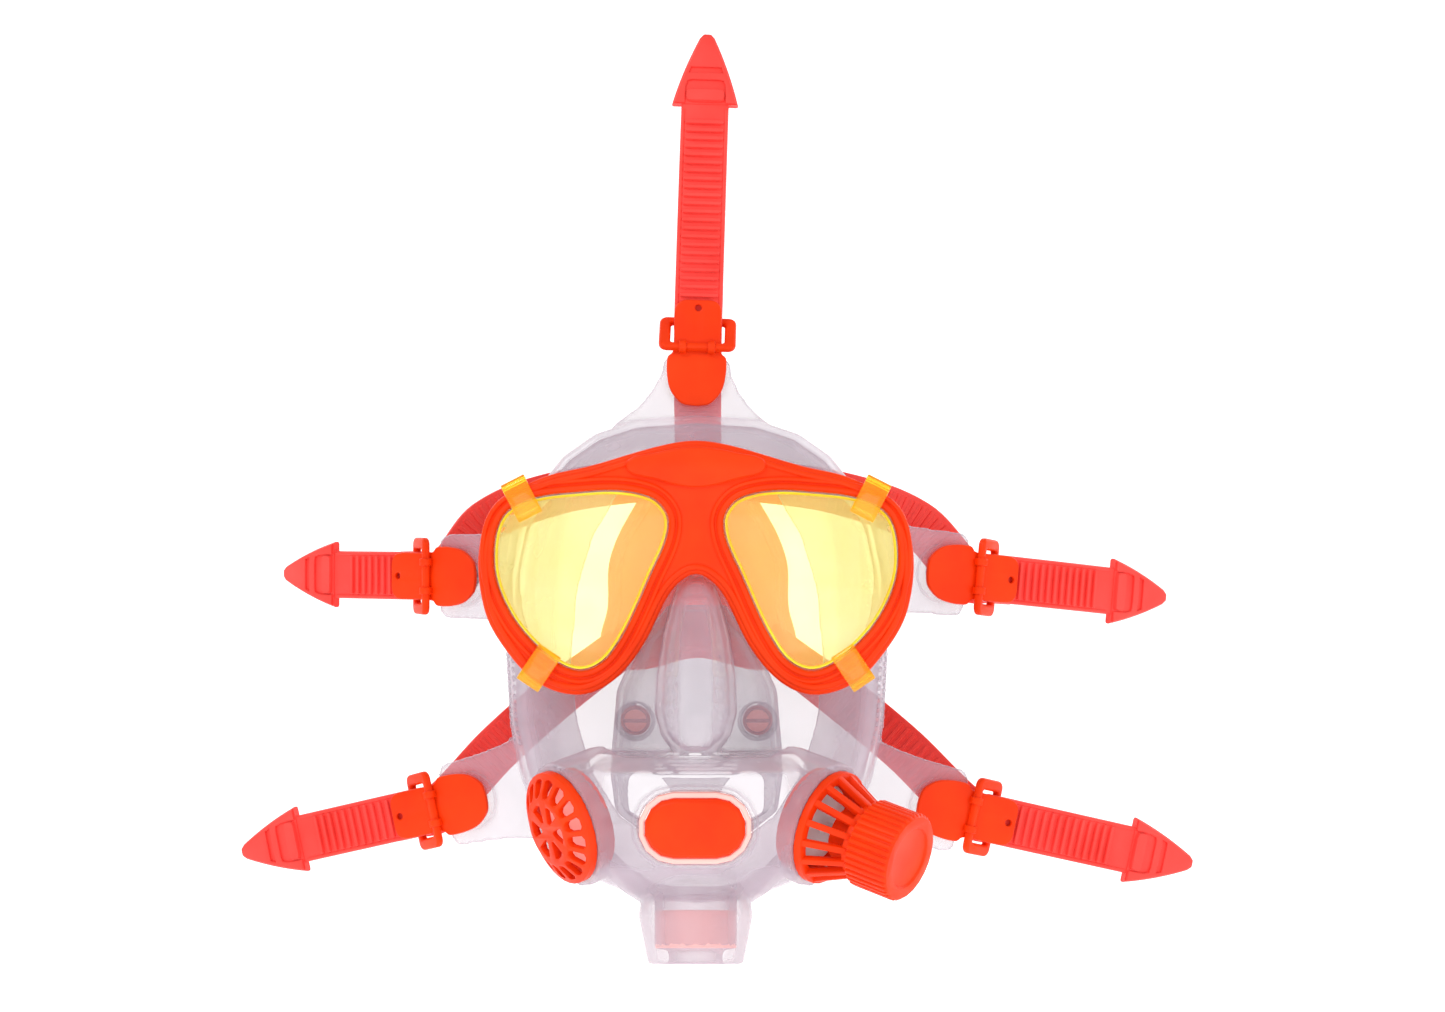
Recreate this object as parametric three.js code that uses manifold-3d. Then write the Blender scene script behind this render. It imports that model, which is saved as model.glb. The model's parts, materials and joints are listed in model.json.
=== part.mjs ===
// Full-face breathing mask: clear silicone skirt, twin-lens frame, an exhale valve, an ambient-air valve
// with a knob, two inhale valves in an inner cup, a regulator port and a five-point harness.
// Millimetres, +Z up, the wearer looks along -Y. The origin is the middle of the face opening.
import * as THREE from 'three';
import { mergeVertices } from 'three/addons/utils/BufferGeometryUtils.js';
import Module from 'manifold-3d';

const wasm = await Module();
wasm.setup();

// ---------- driving dimensions ----------
const GAP = 0.3;
// Skirt dome, seen from the front.
const DOME_HALF_WIDTH = 75.5;
const DOME_TOP = 95;
const DOME_BOTTOM = 99;
const DOME_TOP_EXPONENT = 2.7;
const DOME_BOTTOM_EXPONENT = 2.4;
const DOME_FRONT_Y = -8;
const DOME_WIDEST_Y = 24;
const SKIRT_REAR_Y = 62;
const WALL = 2.6;
// The wearer's head, which shapes the rear edge and the inward seal lip.
const HEAD_CENTRE_Y = 110;
const HEAD_RADII = [95, 95, 150];
const SEAL_LIP = 2.6;
const FACE_OPENING = [50, 78];
// Lens frame and what sits in it.
const FRAME_FRONT_Y = -20;
const FRAME_REAR_Y = -12;
const GLASS_THICKNESS = 3;
const GLASS_OVERLAP = 1.7;
const FILTER_THICKNESS = 2;
const CLIP_WIDTH = 10;
// Valves: round, on axes that point outward, forward and a little down.
const VALVE_X = 49.5;
const VALVE_Y = -38;
const VALVE_Z = -62;
const VALVE_DIRECTION = [0.806, -0.53, -0.268];
const VALVE_RADIUS = 22;
const COLLAR_RADIUS = 24.5;
const COLLAR_BORE = 20.5;
const SEAT_REAR = -9;
const CAGE_HEIGHT = 19;
const KNOB_RADIUS = 17;
const KNOB_LENGTH = 18;
const KNOB_FLUTES = 40;
// Regulator port in the oral box, closed by an obround plug.
const PORT_Z = -60.8;
const PORT_FRONT_Y = -58;
const PLUG_SIZE = [38, 22];
const GASKET_RIM = 2.2;
const PORT_BOSS_SIZE = [47, 31];
// Bottom spigot.
const SPIGOT_Y = -32;
const SPIGOT_TOP_Z = -84;
const SPIGOT_LENGTH = 31;
const SPIGOT_TILT = 0.14;
const SPIGOT_RADIUS = 18.2;
const SPIGOT_BORE = 15.8;
const SLEEVE_BORE = 10.3;
// Buckles and straps, in a buckle's own frame: u outboard, v across, n forward, hinge bar at u = 0.
const STRAP_WIDTH = 19.4;
const STRAP_THICKNESS = 2.4;
const PLATE_THICKNESS = 2.2;
const CAP_LENGTH = 24;
const CAP_WIDTH = 24;
const FLAP_LENGTH = 19.5;
const FLAP_WIDTH = 19;
const HINGE_N = 3.95;
const BAR_RADIUS = 1.35;
const OUTER_BAR = [11.5, -4.6];
const FRAME_SPAN = 31;
const FRAME_CAP = 4.6;
const FOLD_START_U = 18;
const BACK_LEG_N = -7.5;
const REAR_LEG_N = -18;
const EAR_N = [-3.4, -0.4];
const TIP_WIDTH = 27.8;
const TIP_LENGTH = 31;
// Each buckle: the point on its plate under the hinge bar, its outboard direction, the length of the strap's
// tail, the reach of the strap's fold behind it, and the skirt's ear: its length, root half-width and end
// half-width.
const BUCKLES = {
  top: {
    at: [0, 38, 122.7], out: [0.03, 0.1, 0.99], tail: 133, fold: 22, ear: 42, earRoot: 38, earEnd: 14,
  },
  temple_l: {
    at: [-107, 40, 31], out: [-0.83, 0.56, 0], tail: 84, fold: 19, ear: 46, earRoot: 18, earEnd: 17,
  },
  temple_r: {
    at: [112, 40, 31], out: [0.88, 0.47, -0.1], tail: 101, fold: 19, ear: 49, earRoot: 18, earEnd: 17,
  },
  cheek_l: {
    at: [-105, 40, -62.5], out: [-0.9, 0.36, -0.23], tail: 97, fold: 20, ear: 54, earRoot: 22, earEnd: 17,
  },
  cheek_r: {
    at: [110, 40, -65], out: [0.93, 0.28, -0.23], tail: 105, fold: 20, ear: 58, earRoot: 22, earEnd: 17,
  },
};
// Harness pad behind the head.
const PAD_Y = 84;
const PAD_THICKNESS = 3;

const ORANGE = { color: 0xff551e, roughness: 0.45, metalness: 0 };
const CORAL = { color: 0xff4b46, roughness: 0.6, metalness: 0 };
const CLEAR_SILICONE = { color: 0xe4dbe2, roughness: 0.35, metalness: 0, transparent: true, opacity: 0.45 };
const YELLOW_FILTER = { color: 0xffd23c, roughness: 0.1, metalness: 0, transparent: true, opacity: 0.5 };
const CLEAR_GLASS = { color: 0xf4f8f4, roughness: 0.05, metalness: 0, transparent: true, opacity: 0.3 };
const GREY_RUBBER = { color: 0xb9b2b8, roughness: 0.6, metalness: 0 };
const PINK_SLEEVE = { color: 0xff8a72, roughness: 0.45, metalness: 0 };

// ---------- shape helpers ----------
const assembly = new THREE.Group();
const vec = (x, y, z) => new THREE.Vector3(x, y, z);

function addMesh(name, geometry, look, parent = assembly) {
  const mesh = new THREE.Mesh(geometry, new THREE.MeshStandardMaterial(look));
  mesh.name = name;
  parent.add(mesh);
  return mesh;
}

function solid(geometry) {
  const bare = geometry.index ? geometry.toNonIndexed() : geometry.clone();
  bare.deleteAttribute('normal');
  bare.deleteAttribute('uv');
  const merged = mergeVertices(bare, 1e-3);
  const made = new wasm.Mesh({
    numProp: 3,
    vertProperties: merged.attributes.position.array,
    triVerts: new Uint32Array(merged.index.array),
  });
  return new wasm.Manifold(made);
}

function geometryOf(manifold) {
  const mesh = manifold.getMesh();
  const geometry = new THREE.BufferGeometry();
  geometry.setAttribute('position', new THREE.BufferAttribute(mesh.vertProperties, 3));
  geometry.setIndex(new THREE.BufferAttribute(mesh.triVerts, 1));
  return geometry;
}

const joined = (solids) => solids.reduce((sum, next) => sum.add(next));
const cut = (body, tools) => tools.reduce((left, tool) => left.subtract(tool), body);

// Closed skin through rings of equal point counts. The end caps are flat when seen along the axis
// that flatAxes leaves out: [0, 2] looks along y.
function loft(rings, flatAxes = [0, 2]) {
  const count = rings[0].length;
  const faces = sideFaces(rings);
  for (const [ring, turned] of [[0, true], [rings.length - 1, false]]) {
    const flat = rings[ring].map((p) => new THREE.Vector2(...flatAxes.map((axis) => p.getComponent(axis))));
    const turnedFlat = THREE.ShapeUtils.isClockWise(flat) !== turned;
    for (const triangle of THREE.ShapeUtils.triangulateShape(flat, [])) {
      const corners = triangle.map((i) => ring * count + i);
      faces.push(...(turnedFlat ? corners.reverse() : corners));
    }
  }
  return closedSkin(rings, faces);
}

// Loft whose rings are quadrilaterals in any direction.
function strapLoft(rings) {
  const last = (rings.length - 1) * 4;
  const ends = [0, 3, 2, 0, 2, 1, last, last + 1, last + 2, last, last + 2, last + 3];
  return closedSkin(rings, [...sideFaces(rings), ...ends]);
}

// Triangles between each ring and the next.
function sideFaces(rings) {
  const count = rings[0].length;
  const faces = [];
  for (let r = 0; r < rings.length - 1; r += 1) {
    for (let i = 0; i < count; i += 1) {
      const a = r * count + i;
      const b = r * count + ((i + 1) % count);
      faces.push(a, b, b + count, a, b + count, a + count);
    }
  }
  return faces;
}

function closedSkin(rings, faces) {
  const geometry = new THREE.BufferGeometry().setFromPoints(rings.flat());
  geometry.setIndex(faces);
  return facingOut(geometry);
}

function signedVolume(geometry) {
  const p = geometry.attributes.position;
  const index = geometry.index.array;
  let total = 0;
  for (let i = 0; i < index.length; i += 3) {
    const [a, b, c] = [0, 1, 2].map((k) => new THREE.Vector3().fromBufferAttribute(p, index[i + k]));
    total += a.dot(b.cross(c));
  }
  return total;
}

function facingOut(geometry) {
  if (signedVolume(geometry) < 0) {
    geometry.index.array.reverse();
  }
  return geometry;
}

function superellipse(halfWidth, halfHeight, exponent, count) {
  const points = [];
  for (let i = 0; i < count; i += 1) {
    const angle = (i / count) * 2 * Math.PI;
    const c = Math.cos(angle);
    const s = Math.sin(angle);
    const power = 2 / exponent;
    points.push([
      halfWidth * Math.sign(c) * Math.abs(c) ** power,
      halfHeight * Math.sign(s) * Math.abs(s) ** power,
    ]);
  }
  return points;
}

// An outline as a shape: counter-clockwise, or clockwise when it is a hole.
function shapeOf(points, asHole = false) {
  const corners = points.map(([x, y]) => new THREE.Vector2(x, y));
  const clockwise = THREE.ShapeUtils.isClockWise(corners);
  return new THREE.Shape(clockwise === asHole ? corners : corners.reverse());
}

// Prism of an (x, z) outline between two y planes.
function prism(points, rearY, frontY, holes = [], bevel = 0) {
  const shape = shapeOf(points);
  shape.holes = holes.map((hole) => shapeOf(hole, true));
  const geometry = new THREE.ExtrudeGeometry(shape, {
    depth: rearY - frontY - 2 * bevel,
    steps: 1,
    bevelEnabled: bevel > 0,
    bevelThickness: bevel,
    bevelSize: bevel,
    bevelOffset: -bevel,
    bevelSegments: 1,
  });
  return geometry.rotateX(Math.PI / 2).translate(0, rearY - bevel, 0);
}

// Moves an outline outward by a distance, along its corner normals.
function grown(points, distance) {
  const count = points.length;
  const turn = THREE.ShapeUtils.area(points.map(([x, y]) => new THREE.Vector2(x, y))) > 0 ? 1 : -1;
  return points.map(([x, y], i) => {
    const [ax, ay] = points[(i + count - 1) % count];
    const [bx, by] = points[(i + 1) % count];
    const length = Math.hypot(bx - ax, by - ay);
    return [x + (turn * distance * (by - ay)) / length, y - (turn * distance * (bx - ax)) / length];
  });
}

// Lathe about +Z through (radius, height) points, closed by its first point.
function turned(profile, segments = 32) {
  const points = [...profile, profile[0]].map(([r, h]) => new THREE.Vector2(r, h));
  const made = solid(new THREE.LatheGeometry(points, segments).rotateX(Math.PI / 2));
  return made.volume() < 0 ? solid(facingOut(geometryOf(made))) : made;
}

function block(width, depth, height, x = 0, y = 0, z = 0) {
  return new THREE.BoxGeometry(width, depth, height).translate(x, y, z);
}

// Even points along a closed spline through an outline's points.
function smooth(points, count) {
  const curve = new THREE.CatmullRomCurve3(points.map(([x, z]) => vec(x, 0, z)), true, 'centripetal');
  return curve.getSpacedPoints(count).slice(0, count).map((p) => [p.x, p.z]);
}

const flipX = (points) => points.map(([x, z]) => [-x, z]);

// ---------- lens frame, glasses and clip-on filters ----------
// Right half of the frame outline, from the brow to the nose bridge.
const frameHalf = [
  [0, 84.5], [14, 82.5], [40, 75], [60, 70], [76, 60.5], [83.5, 44], [81.5, 19],
  [72, 2], [60, -9.5], [45, -13.5], [32.5, -8.5], [21, 4.6], [10.5, 25], [5, 31], [0, 33],
];
const windowHalf = [
  [72, 58], [42, 65], [18, 63], [10.5, 53], [18, 31.6], [32, 3.5], [43, -4], [55, 0], [71, 17], [78, 38],
];
const frameOutline = smooth([...frameHalf, ...flipX(frameHalf.slice(1, -1)).reverse()], 56);
const windowRight = smooth(windowHalf, 28);
const windows = [flipX(windowRight), windowRight];

function lensFrame() {
  const rim = solid(prism(frameOutline, FRAME_REAR_Y, FRAME_FRONT_Y, [], 1.6));
  const glassSeat = 4;
  const grooveDepth = 1;
  const tools = windows.flatMap((outline) => [
    solid(prism(outline, FRAME_REAR_Y + 1, FRAME_FRONT_Y - 1)),
    solid(prism(grown(outline, GLASS_OVERLAP + GAP), FRAME_REAR_Y + 1, FRAME_REAR_Y - glassSeat)),
    solid(prism(grown(outline, 3.3), FRAME_FRONT_Y + grooveDepth, FRAME_FRONT_Y - 1, [grown(outline, 2.1)])),
  ]);
  const browOutline = smooth([
    [0, 82.5], [14, 80.5], [27, 75], [14, 70], [0, 67], [-14, 70], [-27, 75], [-14, 80.5],
  ], 20);
  const brow = solid(prism(browOutline, FRAME_FRONT_Y + 2, FRAME_FRONT_Y - 1.4));
  return cut(rim, tools).add(brow);
}

function glass(outline) {
  const rear = FRAME_REAR_Y - GAP;
  return prism(grown(outline, GLASS_OVERLAP), rear, rear - GLASS_THICKNESS);
}

// A hook clip, seen from the front as a bar along its direction over the rim.
function hookClip([x, z], directionDegrees) {
  const proud = 1.9;
  const reach = 16;
  const legThickness = 3;
  const top = FRAME_FRONT_Y - GAP - proud;
  const bridge = block(reach, proud, CLIP_WIDTH, 0, top + proud / 2, 0);
  const leg = block(legThickness, 8, CLIP_WIDTH, (reach - legThickness) / 2, top + 4, 0);
  const post = block(4, 4.6, CLIP_WIDTH, 2 - reach / 2, top + 2.3, 0);
  const clip = joined([bridge, leg, post].map(solid));
  const place = new THREE.Matrix4()
    .makeTranslation(x, 0, z)
    .multiply(new THREE.Matrix4().makeRotationY(THREE.MathUtils.degToRad(-directionDegrees)));
  return solid(geometryOf(clip).applyMatrix4(place));
}

function tintFilter(side) {
  const outline = windows[side < 0 ? 0 : 1];
  const rear = FRAME_REAR_Y - GAP - GLASS_THICKNESS - 1.7;
  const plate = solid(prism(grown(outline, -0.6), rear, rear - FILTER_THICKNESS));
  const upper = hookClip([side * 67.2, 62.2], side > 0 ? 63 : 117);
  const lower = hookClip([side * 60.5, -3], side > 0 ? -56 : -124);
  const inner = windows.map((window) => grown(window, -GAP));
  const rimRoom = prism(grown(frameOutline, GAP), FRAME_REAR_Y + 1, FRAME_FRONT_Y - GAP, inner);
  return joined([plate, upper, lower]).subtract(solid(rimRoom));
}

addMesh('lens_frame', geometryOf(lensFrame()), ORANGE);
for (const [side, letter] of [[-1, 'l'], [1, 'r']]) {
  addMesh(`glass_lens_${letter}`, glass(windows[side < 0 ? 0 : 1]), CLEAR_GLASS);
  addMesh(`tint_filter_${letter}`, geometryOf(tintFilter(side)), YELLOW_FILTER);
}

// ---------- valves ----------
// Group whose +Z is the valve's outward axis and whose origin is the middle of the collar's front.
function valvePlace(side) {
  const [x, y, z] = VALVE_DIRECTION;
  const out = vec(side * x, y, z).normalize();
  const group = new THREE.Group();
  group.position.set(side * VALVE_X, VALVE_Y, VALVE_Z);
  group.quaternion.setFromUnitVectors(vec(0, 0, 1), out);
  group.updateMatrix();
  return group;
}

const exhaleGroup = valvePlace(-1);
const ambientGroup = valvePlace(1);
assembly.add(exhaleGroup, ambientGroup);

// Ring of bars between two radii, repeated about the axis.
function spokes(count, makeBar) {
  const bars = [];
  for (let i = 0; i < count; i += 1) {
    bars.push(solid(makeBar().rotateZ((i / count) * 2 * Math.PI)));
  }
  return bars;
}

// Ring with spokes and a guide boss, pressed into a collar's bore.
function valveSeat() {
  const outer = COLLAR_BORE - GAP;
  const front = -0.6;
  const inner = outer - 3.2;
  const ring = turned([[inner, SEAT_REAR], [outer, SEAT_REAR], [outer, front], [inner, front]], 24);
  const boss = turned([[2, SEAT_REAR], [4.2, SEAT_REAR], [4.2, -6.6], [2, -6.6]], 12);
  const bars = spokes(5, () => block(outer - 6, 1.8, 2, (outer - 3.2 + 4) / 2 - 0.4, 0, -8));
  return joined([ring, boss, ...bars]);
}

// Slot through a cover: a radial petal with cut corners, wider toward the rim.
function petal(innerRadius, outerRadius, innerHalf, outerHalf) {
  const cornerLength = 1;
  const half = [
    [innerRadius, innerHalf * 0.4], [innerRadius + cornerLength, innerHalf],
    [outerRadius - cornerLength, outerHalf], [outerRadius, outerHalf * 0.5],
  ];
  const outline = [...half, ...half.map(([r, v]) => [r, -v]).reverse()];
  return slab(outline, -2, 14);
}

// Low cone with long petals through its side and a few through its flat middle.
function exhaleCover() {
  const flat = 13;
  const height = 8;
  const shell = turned([
    [0, height], [flat, height], [20.5, 3.8], [VALVE_RADIUS, 3.2], [VALVE_RADIUS, GAP], [19, GAP],
    [19, 2.2], [flat - 1, height - 2], [0, height - 2],
  ], 36);
  const sideSlots = spokes(16, () => petal(13.4, 20, 1.9, 2.7));
  const middleSlots = spokes(6, () => petal(4, 10.8, 1.2, 3.3));
  return cut(shell, [...sideSlots, ...middleSlots]);
}

// Tapered cage: base ring, ribs and a top ring that the knob turns on.
function ambientCage() {
  const base = turned([[18.6, GAP], [VALVE_RADIUS, GAP], [VALVE_RADIUS, 3.2], [18.6, 3.6]], 32);
  const topLow = CAGE_HEIGHT - 2.4;
  const top = turned([[3, topLow], [14.2, topLow], [14.2, CAGE_HEIGHT], [3, CAGE_HEIGHT]], 24);
  const core = turned([[8.6, 8], [10.4, 8], [10.4, CAGE_HEIGHT - 1], [8.6, CAGE_HEIGHT - 1]], 24);
  const lean = Math.atan2(20.2 - 13.2, CAGE_HEIGHT - 3.4);
  const ribs = spokes(16, () => block(2.6, 2.4, 17.2, 0, 0, 0).rotateY(-lean).translate(16.7, 0, 10.2));
  return joined([base, top, core, ...ribs]);
}

function flutedOutline(radius, flutes, depth) {
  const points = [];
  for (let i = 0; i < flutes; i += 1) {
    for (const [part, r] of [[0, radius], [0.5, radius], [0.62, radius - depth], [0.88, radius - depth]]) {
      const angle = ((i + part) / flutes) * 2 * Math.PI;
      points.push([r * Math.cos(angle), r * Math.sin(angle)]);
    }
  }
  return points;
}

// Knob with a fluted side, a chamfered face with a shallow round recess, and a blind bore for the stem.
function ambientKnob() {
  const low = CAGE_HEIGHT + 1;
  const high = low + KNOB_LENGTH;
  const body = new THREE.ExtrudeGeometry(shapeOf(flutedOutline(KNOB_RADIUS, KNOB_FLUTES, 0.8)), {
    depth: KNOB_LENGTH,
    bevelEnabled: false,
  }).translate(0, 0, low);
  const chamfer = turned([
    [0, low - 1], [KNOB_RADIUS, low - 1], [KNOB_RADIUS + 1, high - 2], [KNOB_RADIUS - 2, high + 1],
    [0, high + 1],
  ], 24);
  const recess = turned([[0, high - 0.8], [11.5, high - 0.8], [12.5, high + 1], [0, high + 1]], 24);
  const stemBore = turned([[0, low - 1], [3.4, low - 1], [3.4, low + 12], [0, low + 12]], 12);
  return cut(solid(body).intersect(chamfer), [recess, stemBore]);
}

// Valve disc on a stem that runs out through the cage into the knob.
function ambientStem() {
  return turned([
    [0, -3.6], [15, -3.6], [15.6, -2], [3.6, -0.8], [1.7, 1], [1.7, 14.5], [2.6, 15], [2.6, 27], [0, 27],
  ], 20);
}

addMesh('exhale_seat', geometryOf(valveSeat()), ORANGE, exhaleGroup);
const discProfile = [[0, -3.7], [13.2, -3.7], [16, -2.7], [16, -2], [13, -2.6], [0, -2.6]];
addMesh('exhale_disc', geometryOf(turned(discProfile, 24)), CLEAR_SILICONE, exhaleGroup);
addMesh('exhale_cover', geometryOf(exhaleCover()), ORANGE, exhaleGroup);
addMesh('ambient_seat', geometryOf(valveSeat()), ORANGE, ambientGroup);
addMesh('ambient_stem', geometryOf(ambientStem()), GREY_RUBBER, ambientGroup);
addMesh('ambient_cage', geometryOf(ambientCage()), ORANGE, ambientGroup);
addMesh('ambient_knob', geometryOf(ambientKnob()), ORANGE, ambientGroup);

// ---------- skirt ----------
// [height, half-width, front y] of the nose pocket and of the oral box.
const NOSE = [
  [31, 6, -14], [22, 9.5, -25], [10, 12.5, -33], [-6, 15.2, -41], [-20, 16, -46], [-29, 13.5, -47],
  [-36.6, 7.5, -45],
];
const ORAL = [
  [-36, 38, -42], [-41, 44, -54], [-60, 46.5, -58], [-76, 40, -54], [-88, 29, -42], [-93, 22, -34],
];
const NOSE_REAR_Y = 8;
const ORAL_REAR_Y = 12;

function domeRing(halfWidth, top, bottom, y, count = 28) {
  const ring = [];
  for (let i = 0; i < count; i += 1) {
    const angle = (i / count) * 2 * Math.PI;
    const c = Math.cos(angle);
    const s = Math.sin(angle);
    const power = 2 / (s > 0 ? DOME_TOP_EXPONENT : DOME_BOTTOM_EXPONENT);
    const height = s > 0 ? top : bottom;
    ring.push(vec(
      halfWidth * Math.sign(c) * Math.abs(c) ** power,
      y,
      height * Math.sign(s) * Math.abs(s) ** power,
    ));
  }
  return ring;
}

// Dome from its nearly flat front to its straight sides, drawn in by an inset.
function dome(inset) {
  const rings = [];
  const power = 2 / 2.6;
  const frontY = DOME_FRONT_Y + inset;
  for (const part of [0.16, 0.42, 0.66, 0.85, 1]) {
    const turn = (part * Math.PI) / 2;
    const scale = Math.sin(turn) ** power;
    const y = frontY + (DOME_WIDEST_Y - frontY) * (1 - Math.max(Math.cos(turn), 0) ** power);
    const sizes = [DOME_HALF_WIDTH, DOME_TOP, DOME_BOTTOM].map((size) => (size - inset) * scale);
    rings.push(domeRing(...sizes, y));
  }
  rings.push(domeRing(DOME_HALF_WIDTH - inset, DOME_TOP - inset, DOME_BOTTOM - inset, SKIRT_REAR_Y));
  return solid(loft(rings));
}

// Flat seat behind the lens frame, drawn in toward the dome behind it.
function lensSeat(inset) {
  const middleZ = 38;
  const rings = [[FRAME_REAR_Y + GAP + inset, 1], [0, 0.97], [16, 0.84]].map(([y, scale]) => (
    grown(frameOutline, -1.2 - inset).map(([x, z]) => vec(x * scale, y, middleZ + (z - middleZ) * scale))
  ));
  return solid(loft(rings));
}

// Stack of level rounded sections, each given by its height, half-width and front.
function levelStack(stations, rearY, inset, exponent) {
  const last = stations.length - 1;
  const rings = stations.map(([z, halfWidth, frontY], i) => {
    const level = z - (i === 0 ? inset : 0) + (i === last ? inset : 0);
    const front = frontY + inset;
    const outline = superellipse(halfWidth - inset, (rearY - front) / 2, exponent, 16);
    return outline.map(([x, y]) => vec(x, y + (rearY + front) / 2, level));
  });
  return solid(loft(rings, [0, 1]));
}

function head(clearance) {
  const ball = new THREE.SphereGeometry(1, 20, 12).rotateX(Math.PI / 2);
  ball.scale(...HEAD_RADII.map((radius) => radius + clearance));
  return solid(ball.translate(0, HEAD_CENTRE_Y, 0));
}

function obround(width, height, count = 7) {
  const radius = height / 2;
  const half = width / 2 - radius;
  const points = [];
  for (const side of [1, -1]) {
    for (let i = 0; i <= count; i += 1) {
      const angle = (-0.5 + i / count) * Math.PI;
      points.push([side * (half + radius * Math.cos(angle)), side * radius * Math.sin(angle)]);
    }
  }
  return points;
}

const obroundPrism = (width, height, rearY, frontY, bevel = 0, holes = []) => (
  prism(obround(width, height), rearY, frontY, holes, bevel).translate(0, 0, PORT_Z)
);

// Solid of revolution about the spigot's axis, by (radius, distance down) points.
function spigotTurned(profile, segments = 20) {
  const flipped = turned(profile.map(([r, down]) => [r, -down]), segments);
  const place = new THREE.Matrix4()
    .makeTranslation(0, SPIGOT_Y, SPIGOT_TOP_Z)
    .multiply(new THREE.Matrix4().makeRotationX(-SPIGOT_TILT));
  return solid(geometryOf(flipped).applyMatrix4(place));
}

function valveTurned(side, profile, segments = 24) {
  return solid(geometryOf(turned(profile, segments)).applyMatrix4(valvePlace(side).matrix));
}

// Matrix of a buckle's own frame: x outboard, y across, z forward.
function bucklePlace({ at, out }) {
  const u = vec(...out).normalize();
  const upright = Math.abs(u.z) > 0.7 ? vec(1, 0, 0) : vec(0, 0, 1);
  const v = upright.addScaledVector(u, -upright.dot(u)).normalize();
  const n = u.clone().cross(v);
  if (n.y > 0) {
    v.negate();
    n.negate();
  }
  return new THREE.Matrix4().makeBasis(u, v, n).setPosition(...at);
}

function slab(points, lowN, highN, holes = []) {
  const shape = shapeOf(points);
  shape.holes = holes.map((hole) => shapeOf(hole, true));
  return new THREE.ExtrudeGeometry(shape, { depth: highN - lowN, bevelEnabled: false }).translate(0, 0, lowN);
}

function disc(radius, lowN, highN, u = 0, segments = 16) {
  const height = highN - lowN;
  return new THREE.CylinderGeometry(radius, radius, height, segments)
    .rotateX(Math.PI / 2)
    .translate(u, 0, (lowN + highN) / 2);
}

const STUD_U = -13;
const STUD_RADIUS = 3;
const BOSS_RADIUS = 11.5;
const BOSS_REAR_N = -5.6;

// Strap ear: a wide tab that flares into the rim, with a round boss for the buckle's stud.
function strapEar({ ear, earRoot, earEnd, ...buckle }) {
  const end = -3.2;
  const corner = 4;
  const flare = earRoot - earEnd;
  const half = [
    [-ear, earRoot], [-ear * 0.74, earEnd + flare * 0.75], [-ear * 0.6, earEnd + flare * 0.42],
    [-ear * 0.42, earEnd + flare * 0.16], [STUD_U + 3, earEnd], [end - corner, earEnd],
    [end - corner * 0.3, earEnd - corner * 0.3], [end, earEnd - corner],
  ];
  const outline = [...half, ...half.map(([u, v]) => [u, -v]).reverse()];
  const tab = solid(slab(outline, ...EAR_N));
  const boss = solid(disc(BOSS_RADIUS, BOSS_REAR_N, EAR_N[1], STUD_U));
  return solid(geometryOf(tab.add(boss)).applyMatrix4(bucklePlace(buckle)));
}

function studHole(buckle) {
  return solid(disc(STUD_RADIUS + GAP, BOSS_REAR_N - 1, 1, STUD_U, 8).applyMatrix4(bucklePlace(buckle)));
}

const gasketSize = PLUG_SIZE.map((size) => size + 2 * GASKET_RIM);

function skirt() {
  const buckles = Object.values(BUCKLES);
  const shell = joined([
    dome(0),
    lensSeat(0),
    levelStack(NOSE, NOSE_REAR_Y, 0, 2.6),
    levelStack(ORAL, ORAL_REAR_Y, 0, 3.6),
    solid(obroundPrism(...PORT_BOSS_SIZE, ORAL_REAR_Y, PORT_FRONT_Y - 1.2)),
    spigotTurned([
      [0, 0], [19, 0], [21.7, 11], [21.7, 13.5], [SPIGOT_RADIUS, SPIGOT_LENGTH], [0, SPIGOT_LENGTH],
    ]),
    ...[-1, 1].map((side) => valveTurned(side, [[0, -24], [COLLAR_RADIUS, -24], [COLLAR_RADIUS, 0], [0, 0]])),
    ...buckles.map(strapEar),
  ]);
  const hollow = joined([
    dome(WALL),
    lensSeat(WALL),
    levelStack(NOSE, NOSE_REAR_Y, WALL, 2.6),
    levelStack(ORAL, ORAL_REAR_Y, WALL, 3.6),
  ]).subtract(head(SEAL_LIP));
  const opening = superellipse(...FACE_OPENING, 2.2, 20);
  return cut(shell, [
    head(0),
    hollow,
    solid(prism(opening, SKIRT_REAR_Y + 30, 12)),
    solid(prism(grown(frameOutline, GAP), FRAME_REAR_Y + GAP, -80)),
    ...windows.map((outline) => solid(prism(grown(outline, -0.8), 4, FRAME_REAR_Y - 1))),
    ...[-1, 1].flatMap((side) => [
      valveTurned(side, [[0, SEAT_REAR - GAP], [COLLAR_BORE, SEAT_REAR - GAP], [COLLAR_BORE, 2], [0, 2]]),
      valveTurned(side, [[0, -30], [17, -30], [17, -8], [0, -8]]),
    ]),
    solid(obroundPrism(...gasketSize.map((size) => size + 2 * GAP), ORAL_REAR_Y - 30, PORT_FRONT_Y - 3)),
    spigotTurned([[0, -6], [SPIGOT_BORE, -6], [SPIGOT_BORE, 25.5], [0, 25.5]]),
    spigotTurned([[0, 20], [SLEEVE_BORE, 20], [SLEEVE_BORE, SPIGOT_LENGTH + 2], [0, SPIGOT_LENGTH + 2]]),
    ...buckles.map(studHole),
  ]);
}

addMesh('face_skirt', geometryOf(skirt()), CLEAR_SILICONE);

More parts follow.
